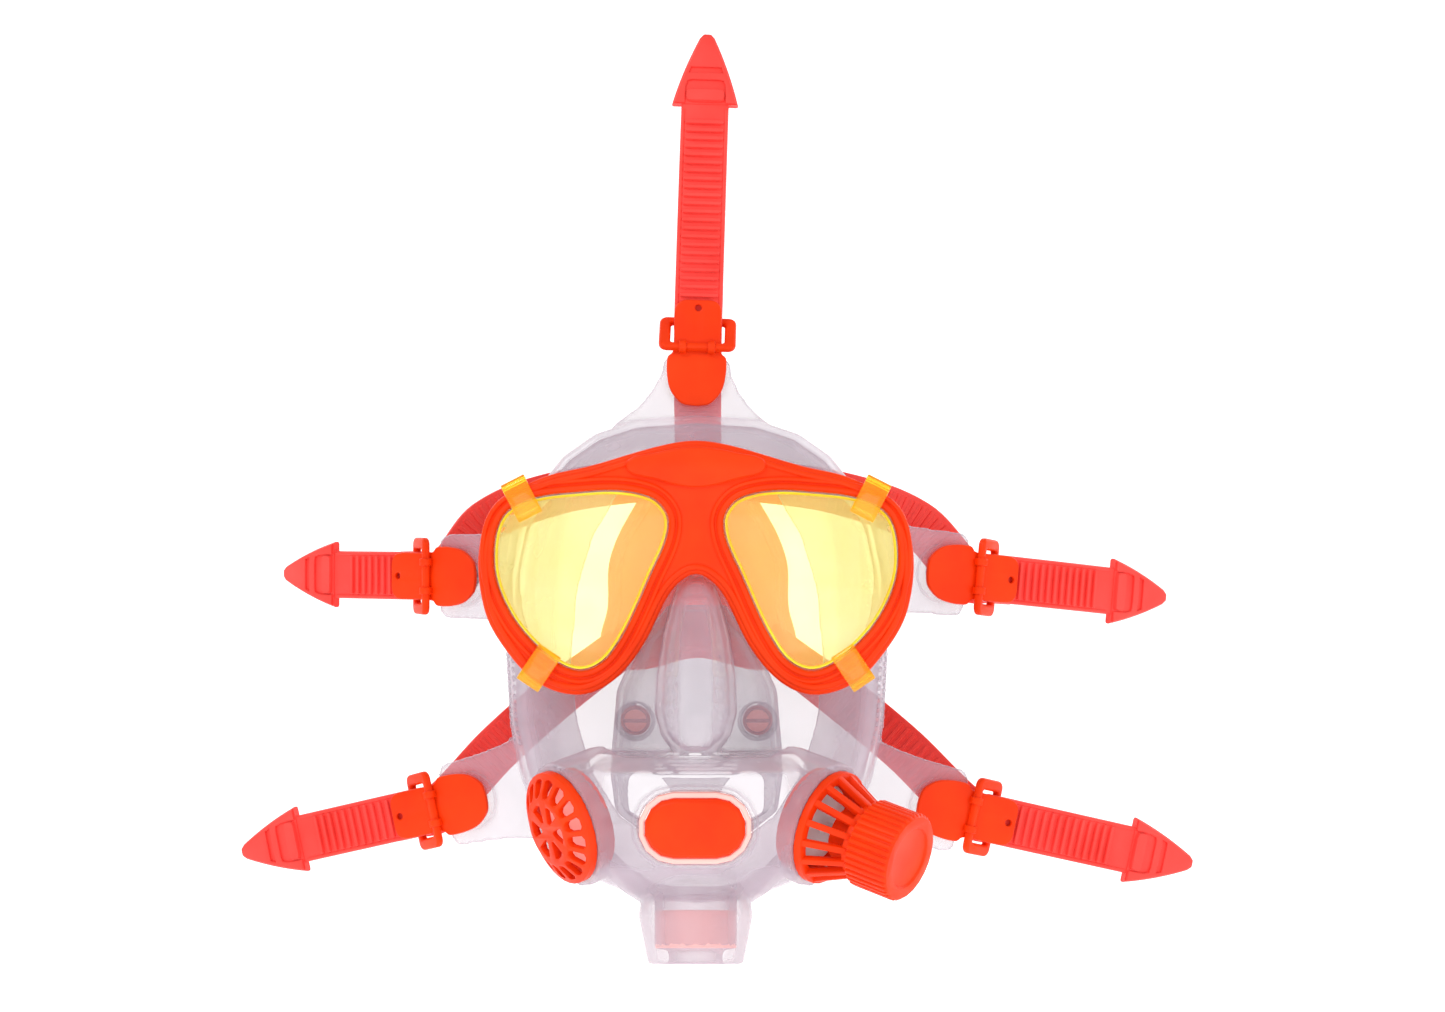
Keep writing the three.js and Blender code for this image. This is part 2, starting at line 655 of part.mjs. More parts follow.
// ---------- regulator port and spigot ----------
const plug = obroundPrism(...PLUG_SIZE, PORT_FRONT_Y + 4, PORT_FRONT_Y - 4, 1.4);
addMesh('port_plug', plug, ORANGE);
const gasketHole = obround(...PLUG_SIZE.map((size) => size + 2 * GAP));
const gasket = obroundPrism(...gasketSize, PORT_FRONT_Y + 4, PORT_FRONT_Y - 2.4, 0, [gasketHole]);
addMesh('plug_gasket', gasket, PINK_SLEEVE);
const sleeveRadius = SPIGOT_BORE - GAP;
const sleeve = [[SLEEVE_BORE, 10.8], [sleeveRadius, 10.8], [sleeveRadius, 25], [SLEEVE_BORE, 25]];
addMesh('port_sleeve', geometryOf(spigotTurned(sleeve)), PINK_SLEEVE);

// ---------- oral-nasal cup and its inhale valves ----------
// [height, half-width, front y], from the nose bridge to the chin.
const CUP = [
  [20, 12, 16], [6, 23, 9], [-14, 32, 5], [-37, 34, 4.2], [-46, 34, -22], [-60, 32, -27], [-69, 21, -18],
];
const CUP_WALL = 2;
const CUP_REAR_Y = 40;
const INHALE_X = 24;
const INHALE_Z = -25;

// Wall of the cup opens to the two outer valves, the regulator port and the spigot.
function innerCup() {
  const outer = levelStack(CUP, CUP_REAR_Y, 0, 2.8);
  const hollow = levelStack(CUP, CUP_REAR_Y + 30, CUP_WALL, 2.8);
  return cut(outer, [
    hollow,
    head(-6),
    ...[-1, 1].map((side) => valveTurned(side, [[0, -44], [13, -44], [13, -8], [0, -8]], 16)),
    solid(obroundPrism(30, 16, 0, -50)),
    spigotTurned([[0, -20], [10, -20], [10, 20], [0, 20]], 16),
    ...[-1, 1].map((side) => inhaleDisc(side, 6.3, 14, -6)),
  ]);
}

// Round plug along y at an inhale valve.
function inhaleDisc(side, radius, rearY, frontY) {
  const round = new THREE.CylinderGeometry(radius, radius, rearY - frontY, 16);
  return solid(round.translate(side * INHALE_X, (rearY + frontY) / 2, INHALE_Z));
}

const CUP_FRONT_Y = 4.4;

// Flanged ring pressed into the cup's front wall, with a bar across.
function inhaleSeat(side) {
  const flange = inhaleDisc(side, 8, CUP_FRONT_Y - GAP, CUP_FRONT_Y - GAP - 1.4);
  const neck = inhaleDisc(side, 6, CUP_FRONT_Y + 5, CUP_FRONT_Y - 1);
  const bore = inhaleDisc(side, 4.6, 20, -20);
  const bar = block(10, 1.4, 1.4, side * INHALE_X, CUP_FRONT_Y + 1, INHALE_Z);
  return flange.add(neck).subtract(bore).add(solid(bar));
}

addMesh('inner_cup', geometryOf(innerCup()), CLEAR_SILICONE);
for (const [side, letter] of [[-1, 'l'], [1, 'r']]) {
  addMesh(`inhale_seat_${letter}`, geometryOf(inhaleSeat(side)), GREY_RUBBER);
  const flapRear = CUP_FRONT_Y + 6.3;
  addMesh(`inhale_flap_${letter}`, geometryOf(inhaleDisc(side, 6, flapRear, flapRear - 1)), CLEAR_SILICONE);
}

// ---------- buckles ----------
const KNUCKLE_V = 5.8;
const KNUCKLE_WIDTH = 2.8;
const FRAME_INSIDE = FRAME_SPAN / 2 - FRAME_CAP;

// Cylinder across the buckle at (u, n).
function crossRod(radius, length, u, n, v = 0, segments = 14) {
  return solid(new THREE.CylinderGeometry(radius, radius, length, segments).translate(u, v, n));
}

function bucklePlate() {
  const capSide = CAP_WIDTH / 2;
  const flapSide = FLAP_WIDTH / 2;
  const capHalf = [
    [-CAP_LENGTH, 0], [-23.4, 3.8], [-21.4, 7.2], [-18, 9.9], [-13.5, capSide - 0.5], [-9, capSide],
    [-4, capSide],
  ];
  const flapHalf = [
    [-2, flapSide], [FLAP_LENGTH - 2.5, flapSide], [FLAP_LENGTH - 0.6, flapSide - 0.7],
    [FLAP_LENGTH, flapSide - 2.5],
  ];
  const half = [...capHalf, ...flapHalf];
  const outline = [...half, ...half.slice(1).map(([u, v]) => [u, -v]).reverse()];
  const dimple = superellipse(1.4, 1.4, 2, 10).map(([u, v]) => [u + FLAP_LENGTH - 3.2, v]);
  const sheet = solid(slab(outline, 0, PLATE_THICKNESS, [dimple]));
  const knuckles = [-KNUCKLE_V, KNUCKLE_V].map((v) => crossRod(2.9, KNUCKLE_WIDTH, 0, HINGE_N, v));
  const bore = crossRod(BAR_RADIUS + GAP, 20, 0, HINGE_N);
  return joined([sheet, ...knuckles]).subtract(bore);
}

// Loop of two bars and two end caps that the strap turns round.
function buckleFrame() {
  const [outerU, outerN] = OUTER_BAR;
  const bars = [[0, HINGE_N], OUTER_BAR].map((middle) => crossRod(BAR_RADIUS, FRAME_SPAN - 2, ...middle));
  const length = Math.hypot(outerU, outerN - HINGE_N);
  const lean = Math.atan2(outerN - HINGE_N, outerU);
  const caps = [-1, 1].map((side) => {
    const outline = obround(length + 5, 5, 6);
    const place = new THREE.Matrix4()
      .makeTranslation(outerU / 2, side * (FRAME_INSIDE + FRAME_CAP / 2), (HINGE_N + outerN) / 2)
      .multiply(new THREE.Matrix4().makeRotationY(-lean))
      .multiply(new THREE.Matrix4().makeRotationX(Math.PI / 2));
    return solid(slab(outline, -FRAME_CAP / 2, FRAME_CAP / 2).applyMatrix4(place));
  });
  return joined([...bars, ...caps]);
}

// Rivet whose head lies behind the ear.
function buckleStud() {
  const head = solid(disc(6, BOSS_REAR_N - 2, BOSS_REAR_N - GAP, STUD_U, 16));
  return head.add(solid(disc(STUD_RADIUS, BOSS_REAR_N - 1, -GAP, STUD_U, 8)));
}

// Centre line of a strap tail from the cut in its back leg, round the outer bar and out to the tip.
function tailPath(length) {
  const [barU, barN] = OUTER_BAR;
  const reach = barN - BACK_LEG_N;
  const path = [[FOLD_START_U, BACK_LEG_N, Math.PI]];
  for (let i = 0; i <= 8; i += 1) {
    const angle = -Math.PI / 2 - (i / 8) * Math.PI;
    path.push([barU + reach * Math.cos(angle), barN + reach * Math.sin(angle), angle - Math.PI / 2]);
  }
  const frontN = barN + reach;
  for (const u of [24, 40, 56, 70, length - TIP_LENGTH]) {
    if (u <= length - TIP_LENGTH) {
      path.push([u, frontN - tailDroop(u), -tailSlope(u)]);
    }
  }
  return path;
}

// How far the free tail has curved back, and its slope there.
const tailDroop = (u) => 7 * (Math.max(u - 22, 0) / 70) ** 2;
const tailSlope = (u) => (14 * Math.max(u - 22, 0)) / 70 ** 2;

// Corners of a strap's section, as signs across its width and through its thickness.
const CORNERS = [[1, 1], [-1, 1], [-1, -1], [1, -1]];

// Rectangular section across a path point.
function strapRing([u, n, angle], halfWidth, thickness) {
  const half = thickness / 2;
  const du = -Math.sin(angle) * half;
  const dn = Math.cos(angle) * half;
  return CORNERS.map(([v, face]) => vec(u + face * du, v * halfWidth, n + face * dn));
}

function strapTail({ tail }) {
  const half = STRAP_WIDTH / 2;
  const rings = tailPath(tail).map((point) => strapRing(point, half, STRAP_THICKNESS));
  const shoulder = tail - TIP_LENGTH;
  const frontN = 2 * OUTER_BAR[1] - BACK_LEG_N;
  for (const [along, width] of [[0.2, TIP_WIDTH], [9, 21.9], [20, 13.7], [30, 4.6], [TIP_LENGTH, 3.4]]) {
    const u = shoulder + along;
    rings.push(strapRing([u, frontN - tailDroop(u), -tailSlope(u)], width / 2, STRAP_THICKNESS + 0.8));
  }
  return strapLoft(rings);
}

// ---------- head harness ----------
// Points of each arm between its buckle and the pad, and where it meets the pad.
const ARM_ROUTES = {
  top: { via: [[0, 64, 104], [0, 78, 92]], pad: [0, PAD_Y, 68] },
  temple_l: { via: [[-87, 65, 52], [-58, 77, 64]], pad: [-13, PAD_Y, 70] },
  temple_r: { via: [[90, 65, 52], [58, 77, 64]], pad: [13, PAD_Y, 70] },
  cheek_l: { via: [[-82, 67, -40], [-57, 78, -18]], pad: [-26, PAD_Y, 6] },
  cheek_r: { via: [[84, 67, -40], [57, 78, -18]], pad: [26, PAD_Y, 6] },
};

// Arm of the harness: the fold behind the buckle, the rear leg, and a smooth run to the pad.
function harnessArm(name, buckle) {
  const place = bucklePlace(buckle);
  const across = new THREE.Vector3().setFromMatrixColumn(place, 1);
  const radius = (BACK_LEG_N - REAR_LEG_N) / 2;
  const middleN = (BACK_LEG_N + REAR_LEG_N) / 2;
  const local = [vec(FOLD_START_U + GAP, 0, BACK_LEG_N)];
  for (let i = 0; i <= 8; i += 1) {
    const angle = Math.PI / 2 - (i / 8) * Math.PI;
    local.push(vec(buckle.fold + radius * Math.cos(angle), 0, middleN + radius * Math.sin(angle)));
  }
  local.push(vec(8, 0, REAR_LEG_N));
  const folded = local.map((p) => p.applyMatrix4(place));
  const { via, pad } = ARM_ROUTES[name];
  const knots = [...folded.slice(-2), ...[...via, pad].map((p) => vec(...p))];
  const run = new THREE.CatmullRomCurve3(knots, false, 'centripetal');
  const points = [...folded.slice(0, -2), ...run.getSpacedPoints(14)];
  const padAcross = vec(...pad).sub(vec(...via.at(-1))).cross(vec(0, 1, 0)).normalize();
  if (padAcross.dot(across) < 0) {
    padAcross.negate();
  }
  const first = folded.length - 2;
  return strapLoft(points.map((point, i) => {
    const next = points[Math.min(i + 1, points.length - 1)];
    const before = points[Math.max(i - 1, 0)];
    const along = next.clone().sub(before).normalize();
    const share = Math.max(0, (i - first) / (points.length - 1 - first));
    const side = across.clone().lerp(padAcross, share);
    side.addScaledVector(along, -side.dot(along)).normalize();
    const face = along.clone().cross(side);
    return CORNERS.map(([v, n]) => {
      const edge = point.clone().addScaledVector(side, (v * STRAP_WIDTH) / 2);
      return edge.addScaledVector(face, (n * STRAP_THICKNESS) / 2);
    });
  }));
}

function headHarness() {
  const padOutline = smooth([
    [0, 86], [14, 83], [21, 75], [25, 62], [33, 50], [38, 36], [39, 18], [42, 4], [38, -6], [24, -9],
    [0, -4], [-24, -9], [-38, -6], [-42, 4], [-39, 18], [-38, 36], [-33, 50], [-25, 62], [-21, 75], [-14, 83],
  ], 44);
  const pad = solid(prism(padOutline, PAD_Y + PAD_THICKNESS / 2, PAD_Y - PAD_THICKNESS / 2));
  const arms = Object.entries(BUCKLES).map(([name, buckle]) => solid(harnessArm(name, buckle)));
  return joined([pad, ...arms]);
}

addMesh('head_harness', geometryOf(headHarness()), CORAL);

for (const [name, buckle] of Object.entries(BUCKLES)) {
  const group = new THREE.Group();
  group.applyMatrix4(bucklePlace(buckle));
  assembly.add(group);
  addMesh(`buckle_plate_${name}`, geometryOf(bucklePlate()), ORANGE, group);
  addMesh(`buckle_frame_${name}`, geometryOf(buckleFrame()), ORANGE, group);
  addMesh(`buckle_stud_${name}`, geometryOf(buckleStud()), GREY_RUBBER, group);
  addMesh(`strap_tail_${name}`, strapTail(buckle), CORAL, group);
}

export default assembly;
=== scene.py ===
"""Looks of a full-face breathing mask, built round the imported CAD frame. Metres, +Z up, the mask faces -Y."""
import json
import math

import bmesh
import bpy
from mathutils import Matrix, Vector
from mathutils.bvhtree import BVHTree
from mathutils.geometry import interpolate_bezier


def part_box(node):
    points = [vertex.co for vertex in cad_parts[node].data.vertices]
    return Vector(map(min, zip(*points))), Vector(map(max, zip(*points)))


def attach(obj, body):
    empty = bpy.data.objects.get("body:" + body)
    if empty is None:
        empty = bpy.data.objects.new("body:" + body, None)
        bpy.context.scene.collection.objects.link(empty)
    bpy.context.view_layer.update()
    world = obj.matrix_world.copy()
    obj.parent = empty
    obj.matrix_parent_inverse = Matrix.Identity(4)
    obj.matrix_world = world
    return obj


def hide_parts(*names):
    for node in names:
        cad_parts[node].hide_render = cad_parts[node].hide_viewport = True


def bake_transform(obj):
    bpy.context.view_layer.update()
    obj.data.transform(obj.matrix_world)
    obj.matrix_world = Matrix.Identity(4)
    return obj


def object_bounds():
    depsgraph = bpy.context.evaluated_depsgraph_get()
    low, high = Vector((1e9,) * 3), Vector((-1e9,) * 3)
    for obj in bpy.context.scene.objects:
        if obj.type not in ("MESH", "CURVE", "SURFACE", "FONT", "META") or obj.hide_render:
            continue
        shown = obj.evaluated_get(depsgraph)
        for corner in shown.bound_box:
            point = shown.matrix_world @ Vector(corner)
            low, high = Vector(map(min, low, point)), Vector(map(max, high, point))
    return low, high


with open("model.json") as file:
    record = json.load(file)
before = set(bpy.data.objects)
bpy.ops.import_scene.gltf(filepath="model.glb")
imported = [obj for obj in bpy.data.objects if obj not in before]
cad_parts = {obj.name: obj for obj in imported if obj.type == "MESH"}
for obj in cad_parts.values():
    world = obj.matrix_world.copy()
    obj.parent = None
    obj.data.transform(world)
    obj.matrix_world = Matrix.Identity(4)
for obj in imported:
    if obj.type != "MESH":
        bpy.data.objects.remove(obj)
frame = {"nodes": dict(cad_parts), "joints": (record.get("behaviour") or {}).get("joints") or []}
cad_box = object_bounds()
MM = 0.001

# ---------- sizes, in metres ----------
# In a buckle's own frame u runs outboard, v across the strap and n forward.
STRAP_WIDTH = 19.4 * MM
STRAP_THICKNESS = 2.4 * MM
RIB_PITCH = 3.44 * MM
RIB_HEIGHT = 1.4 * MM
RIB_WIDTH = 15.6 * MM
RIB_LENGTH = 1.6 * MM
RIB_START = 2.2 * MM
PLAIN_END = 8 * MM
TIP_LENGTH = 31 * MM
HINGE_N = 3.95 * MM
OUTER_BAR = (11.5 * MM, -4.6 * MM)
BACK_LEG_N = -7.5 * MM
REAR_LEG_N = -18 * MM
FRONT_LEG_START_U = 14 * MM
REAR_LEG_END_U = 8 * MM
FOLD_START_U = 18 * MM
FOLD_OVERLAP = 0.5 * MM
FLAP_LENGTH = 19.5 * MM
# A free tail hangs back by DROOP at DROOP_REACH past DROOP_START, along a parabola.
DROOP = 7 * MM
DROOP_START = 22 * MM
DROOP_REACH = 70 * MM
# Outboard direction of each buckle, and the reach of the strap's fold behind it.
BUCKLES = {
    "top": ((0.03, 0.1, 0.99), 22 * MM),
    "temple_l": ((-0.83, 0.56, 0), 19 * MM),
    "temple_r": ((0.88, 0.47, -0.1), 19 * MM),
    "cheek_l": ((-0.9, 0.36, -0.23), 20 * MM),
    "cheek_r": ((0.93, 0.28, -0.23), 20 * MM),
}


# ---------- materials ----------
def principled(name):
    """A new material with one Principled shader: the material, its nodes, its links and the shader."""
    material = bpy.data.materials.new(name)
    material.use_nodes = True
    nodes = material.node_tree.nodes
    return material, nodes, material.node_tree.links, nodes["Principled BSDF"]


def noise(nodes, links, scale, detail=4.0):
    """A noise texture in the object's own coordinates."""
    place = nodes.new("ShaderNodeTexCoord")
    texture = nodes.new("ShaderNodeTexNoise")
    texture.inputs["Scale"].default_value = scale
    texture.inputs["Detail"].default_value = detail
    links.new(place.outputs["Object"], texture.inputs["Vector"])
    return texture.outputs["Fac"]


def two_tone(nodes, links, factor, dark, light):
    """Runs a factor between two colours, with soft ends."""
    ramp = nodes.new("ShaderNodeValToRGB")
    ramp.color_ramp.elements[0].position = 0.3
    ramp.color_ramp.elements[1].position = 0.72
    ramp.color_ramp.elements[0].color = (*dark, 1)
    ramp.color_ramp.elements[1].color = (*light, 1)
    links.new(factor, ramp.inputs["Fac"])
    return ramp.outputs["Color"]


def spread(nodes, links, factor, low, high):
    """Maps a 0-1 factor to a range."""
    mapped = nodes.new("ShaderNodeMapRange")
    mapped.inputs["To Min"].default_value = low
    mapped.inputs["To Max"].default_value = high
    links.new(factor, mapped.inputs["Value"])
    return mapped.outputs["Result"]


def moulded(name, dark, light, roughness, grain_scale, grain_depth, **shader):
    """Moulded plastic or rubber: mottled colour, uneven gloss and a fine grain in the surface."""
    material, nodes, links, bsdf = principled(name)
    links.new(two_tone(nodes, links, noise(nodes, links, 45), dark, light), bsdf.inputs["Base Color"])
    links.new(spread(nodes, links, noise(nodes, links, 130), *roughness), bsdf.inputs["Roughness"])
    bump = nodes.new("ShaderNodeBump")
    bump.inputs["Strength"].default_value = 0.35
    bump.inputs["Distance"].default_value = grain_depth
    links.new(noise(nodes, links, grain_scale, 6), bump.inputs["Height"])
    links.new(bump.outputs["Normal"], bsdf.inputs["Normal"])
    for socket, value in shader.items():
        bsdf.inputs[socket.replace("_", " ")].default_value = value
    return material


def denser_edges(material, facing_alpha, edge_alpha):
    """Clear rubber looks denser where its wall is seen edge on."""
    nodes, links = material.node_tree.nodes, material.node_tree.links
    weight = nodes.new("ShaderNodeLayerWeight")
    weight.inputs["Blend"].default_value = 0.34
    links.new(spread(nodes, links, weight.outputs["Facing"], facing_alpha, edge_alpha),
              nodes["Principled BSDF"].inputs["Alpha"])
    return material


def orange_plastic():
    return moulded("orange_plastic", (0.86, 0.036, 0.001), (0.98, 0.054, 0.002), (0.34, 0.5), 900, 0.00005,
                   Specular_IOR_Level=0.16)


def coral_rubber():
    return moulded("coral_rubber", (0.88, 0.042, 0.030), (0.98, 0.064, 0.050), (0.42, 0.6), 1200, 0.00005,
                   Specular_IOR_Level=0.35, Sheen_Weight=0.1, Sheen_Roughness=0.5)


def glowing_pad_rubber():
    """The harness pad. Its emission is a painted glow, standing in for the light from behind that would shine
    through it.
    """
    return moulded("glowing_pad_rubber", (0.90, 0.060, 0.045), (0.98, 0.085, 0.065), (0.42, 0.6), 1200, 0.00005,
                   Specular_IOR_Level=0.3, Emission_Color=(1, 0.22, 0.17, 1), Emission_Strength=0.25)


def clear_silicone():
    material = moulded("clear_silicone", (0.50, 0.41, 0.49), (0.64, 0.53, 0.62), (0.16, 0.32), 260, 0.00012,
                       Specular_IOR_Level=0.5, Coat_Weight=0.15, Coat_Roughness=0.15)
    return denser_edges(material, 0.27, 0.85)


def cup_silicone():
    material = moulded("cup_silicone", (0.30, 0.26, 0.36), (0.42, 0.37, 0.48), (0.2, 0.4), 260, 0.0001,
                       Specular_IOR_Level=0.3)
    return denser_edges(material, 0.26, 0.7)


def yellow_filter():
    # The emission is a painted yellow glow on the filter, which is no lamp.
    return moulded("yellow_filter", (1.0, 0.96, 0.46), (1.0, 0.99, 0.58), (0.01, 0.05), 60, 0.00002,
                   Transmission_Weight=0.97, IOR=1.12, Coat_Weight=0.5, Coat_Roughness=0.03,
                   Emission_Color=(1, 0.85, 0.12, 1), Emission_Strength=0.14)


def filter_edge():
    # The emission is a painted yellow glow on the filter's rim.
    return moulded("filter_edge", (1.0, 0.80, 0.04), (0.92, 0.92, 0.10), (0.1, 0.2), 300, 0.00003,
                   Transmission_Weight=0.7, IOR=1.3, Emission_Color=(1, 0.8, 0.05, 1), Emission_Strength=0.05)


def amber_clip():
    # The emission is a painted amber glow on the clips.
    return moulded("amber_clip", (1.0, 0.52, 0.01), (1.0, 0.66, 0.04), (0.05, 0.14), 300, 0.00003,
                   Transmission_Weight=0.8, IOR=1.2, Coat_Weight=0.6,
                   Emission_Color=(1, 0.5, 0.0, 1), Emission_Strength=0.1)


def lens_glass():
    return moulded("lens_glass", (0.93, 0.96, 0.93), (0.98, 1.0, 0.98), (0.01, 0.04), 20, 0.00001,
                   Alpha=0.06, Coat_Weight=0.4, Coat_Roughness=0.02)


def pink_rubber():
    # The emission is a painted pink glow on the sleeve, gasket, exhale disc and inhale flaps.
    return moulded("pink_rubber", (1.0, 0.50, 0.45), (1.0, 0.62, 0.57), (0.35, 0.5), 500, 0.00005, Alpha=0.9,
                   Emission_Color=(1, 0.40, 0.34, 1), Emission_Strength=0.22)


def grey_plastic():
    return moulded("grey_plastic", (0.62, 0.58, 0.60), (0.74, 0.70, 0.72), (0.35, 0.5), 700, 0.00005)


# ---------- mesh helpers ----------
def new_object(name, mesh, material):
    piece = bpy.data.objects.new(name, mesh)
    bpy.context.scene.collection.objects.link(piece)
    mesh.materials.clear()
    mesh.materials.append(material)
    return piece


def set_only_material(piece, material):
    piece.data.materials.clear()
    piece.data.materials.append(material)
    for polygon in piece.data.polygons:
        polygon.material_index = 0


def smooth_shading(mesh, degrees):
    for polygon in mesh.polygons:
        polygon.use_smooth = True
    mesh.set_sharp_from_angle(angle=math.radians(degrees))


def baked_mesh(piece):
    """The piece's mesh with its modifiers applied, as a new mesh."""
    graph = bpy.context.evaluated_depsgraph_get()
    return bpy.data.meshes.new_from_object(piece.evaluated_get(graph))


def apply_modifiers(piece):
    mesh = baked_mesh(piece)
    piece.modifiers.clear()
    piece.data = mesh


def loft(name, rings, material):
    """Skin through rings of equal point counts, capped at both ends."""
    count = len(rings[0])
    verts = [point for ring in rings for point in ring]
    faces = []
    for r in range(len(rings) - 1):
        for i in range(count):
            j = (i + 1) % count
            faces.append((r * count + i, r * count + j, (r + 1) * count + j, (r + 1) * count + i))
    faces.append(tuple(reversed(range(count))))
    faces.append(tuple(range((len(rings) - 1) * count, len(rings) * count)))
    mesh = bpy.data.meshes.new(name)
    mesh.from_pydata(verts, [], faces)
    face_out(mesh)
    return new_object(name, mesh, material)


def face_out(mesh):
    work = bmesh.new()
    work.from_mesh(mesh)
    bmesh.ops.recalc_face_normals(work, faces=work.faces)
    work.to_mesh(mesh)
    work.free()


def join(name, pieces):
    """Joins pieces into the first one, keeping each one's materials."""
    bpy.ops.object.select_all(action="DESELECT")
    for piece in pieces:
        piece.select_set(True)
    bpy.context.view_layer.objects.active = pieces[0]
    bpy.ops.object.join()
    pieces[0].name = name
    return pieces[0]


def flat_sheet(name, outlines, thickness, bevel, material, bevel_steps=3):
    """Flat sheet in the xy plane with round edges: the first outline is its outside, the others are holes."""
    curve = bpy.data.curves.new(name, "CURVE")
    curve.dimensions = "2D"
    curve.fill_mode = "BOTH"
    for outline in outlines:
        spline = curve.splines.new("POLY")
        spline.points.add(len(outline) - 1)
        for point, (x, y) in zip(spline.points, outline):
            point.co = (x, y, 0, 1)
        spline.use_cyclic_u = True
    curve.extrude = thickness / 2 - bevel
    curve.bevel_depth = bevel
    curve.offset = -bevel
    curve.bevel_resolution = bevel_steps
    holder = bpy.data.objects.new(name, curve)
    bpy.context.scene.collection.objects.link(holder)
    bpy.context.view_layer.update()
    mesh = baked_mesh(holder)
    bpy.data.objects.remove(holder)
    bpy.data.curves.remove(curve)
    piece = new_object(name, mesh, material)
    weld(piece)
    smooth_shading(piece.data, 40)
    return piece


def curve_sheet(name, outlines, front_y, rear_y, bevel, material, bevel_steps=3):
    """Flat sheet of (x, z) outlines between two y planes."""
    piece = flat_sheet(name, outlines, rear_y - front_y, bevel, material, bevel_steps)
    middle = Matrix.Translation((0, (rear_y + front_y) / 2, 0))
    piece.data.transform(middle @ Matrix.Rotation(math.pi / 2, 4, "X"))
    return piece


def weld(piece):
    """Joins corners that lie in one place."""
    work = bmesh.new()
    work.from_mesh(piece.data)
    bmesh.ops.remove_doubles(work, verts=work.verts, dist=0.01 * MM)
    bmesh.ops.recalc_face_normals(work, faces=work.faces)
    work.to_mesh(piece.data)
    work.free()


def spline_loop(points, count):
    """Even points along a smooth closed curve through (x, z) points."""
    knots = [Vector((x, z)) for x, z in points]
    points_per_span = 24
    dense = []
    total = len(knots)
    for i in range(total):
        before, start, end, after = (knots[(i + k) % total] for k in (-1, 0, 1, 2))
        reach = (end - start).length / 3
        leave = (end - before).normalized() * reach
        arrive = (after - start).normalized() * reach
        dense += interpolate_bezier(start, start + leave, end - arrive, end, points_per_span)[:-1]
    return even_loop(dense, count)


def even_loop(dense, count):
    """The same closed curve with its points at even steps."""
    lengths = [(dense[(i + 1) % len(dense)] - p).length for i, p in enumerate(dense)]
    step = sum(lengths) / count
    loop, i, walked = [], 0, 0.0
    for k in range(count):
        while walked + lengths[i] < k * step:
            walked += lengths[i]
            i += 1
        share = (k * step - walked) / lengths[i]
        loop.append(tuple(dense[i].lerp(dense[(i + 1) % len(dense)], share)[:2]))
    return loop


def grown(outline, distance):
    """The outline moved outward; it runs clockwise or not as it did."""
    area = sum(x0 * z1 - x1 * z0 for (x0, z0), (x1, z1) in zip(outline, outline[1:] + outline[:1]))
    turn = 1 if area > 0 else -1
    moved = []
    for i, (x, z) in enumerate(outline):
        (ax, az), (bx, bz) = outline[i - 1], outline[(i + 1) % len(outline)]
        length = math.hypot(bx - ax, bz - az)
        moved.append((x + turn * distance * (bz - az) / length, z - turn * distance * (bx - ax) / length))
    return moved


def flip_x(outline):
    return [(-x, z) for x, z in outline]


def edge_band(name, outline, profile, material):
    """Ring swept round an outline; the profile holds (outward, y) points."""
    count = len(profile)
    verts = []
    for out, y in profile:
        verts += [(x, y, z) for x, z in grown(outline, out)]
    size = len(outline)
    faces = []
    for r in range(count):
        for i in range(size):
            j = (i + 1) % size
            s = (r + 1) % count
            faces.append((r * size + i, r * size + j, s * size + j, s * size + i))
    mesh = bpy.data.meshes.new(name)
    mesh.from_pydata(verts, [], faces)
    face_out(mesh)
    smooth_shading(mesh, 50)
    return new_object(name, mesh, material)


# ---------- lens frame, glasses and filters ----------
# The frame's half with positive x, that half's window and the whole brow panel: (x, z) in millimetres.
FRAME_HALF = [
    (0, 84.5), (14, 82.5), (40, 75), (60, 70), (76, 60.5), (83.5, 44), (81.5, 19),
    (72, 2), (60, -9.5), (45, -13.5), (32.5, -8.5), (21, 4.6), (10.5, 25), (5, 31), (0, 33),
]
WINDOW_HALF = [
    (72, 58), (42, 65), (18, 63), (10.5, 53), (18, 31.6), (32, 3.5), (43, -4), (55, 0), (71, 17), (78, 38),
]
BROW = [(0, 82), (15, 80), (27, 75), (15, 69.5), (0, 66.5), (-15, 69.5), (-27, 75), (-15, 80)]


def in_metres(outline):
    return [(x * MM, z * MM) for x, z in outline]


frame_outline = spline_loop(in_metres(FRAME_HALF + flip_x(FRAME_HALF[1:-1])[::-1]), 240)
window_right = spline_loop(in_metres(WINDOW_HALF), 150)
windows = {"l": flip_x(window_right), "r": window_right}
FRAME_FRONT = -20 * MM
FRAME_REAR = -12 * MM


def round_profile(centre, radius, y, height):
    """Half-round ridge profile: (outward, y) points, closed by its flat side."""
    steps = 8
    points = []
    for i in range(steps + 1):
        angle = math.pi * i / steps
        points.append((centre + radius * math.cos(angle), y - height * math.sin(angle)))
    return points


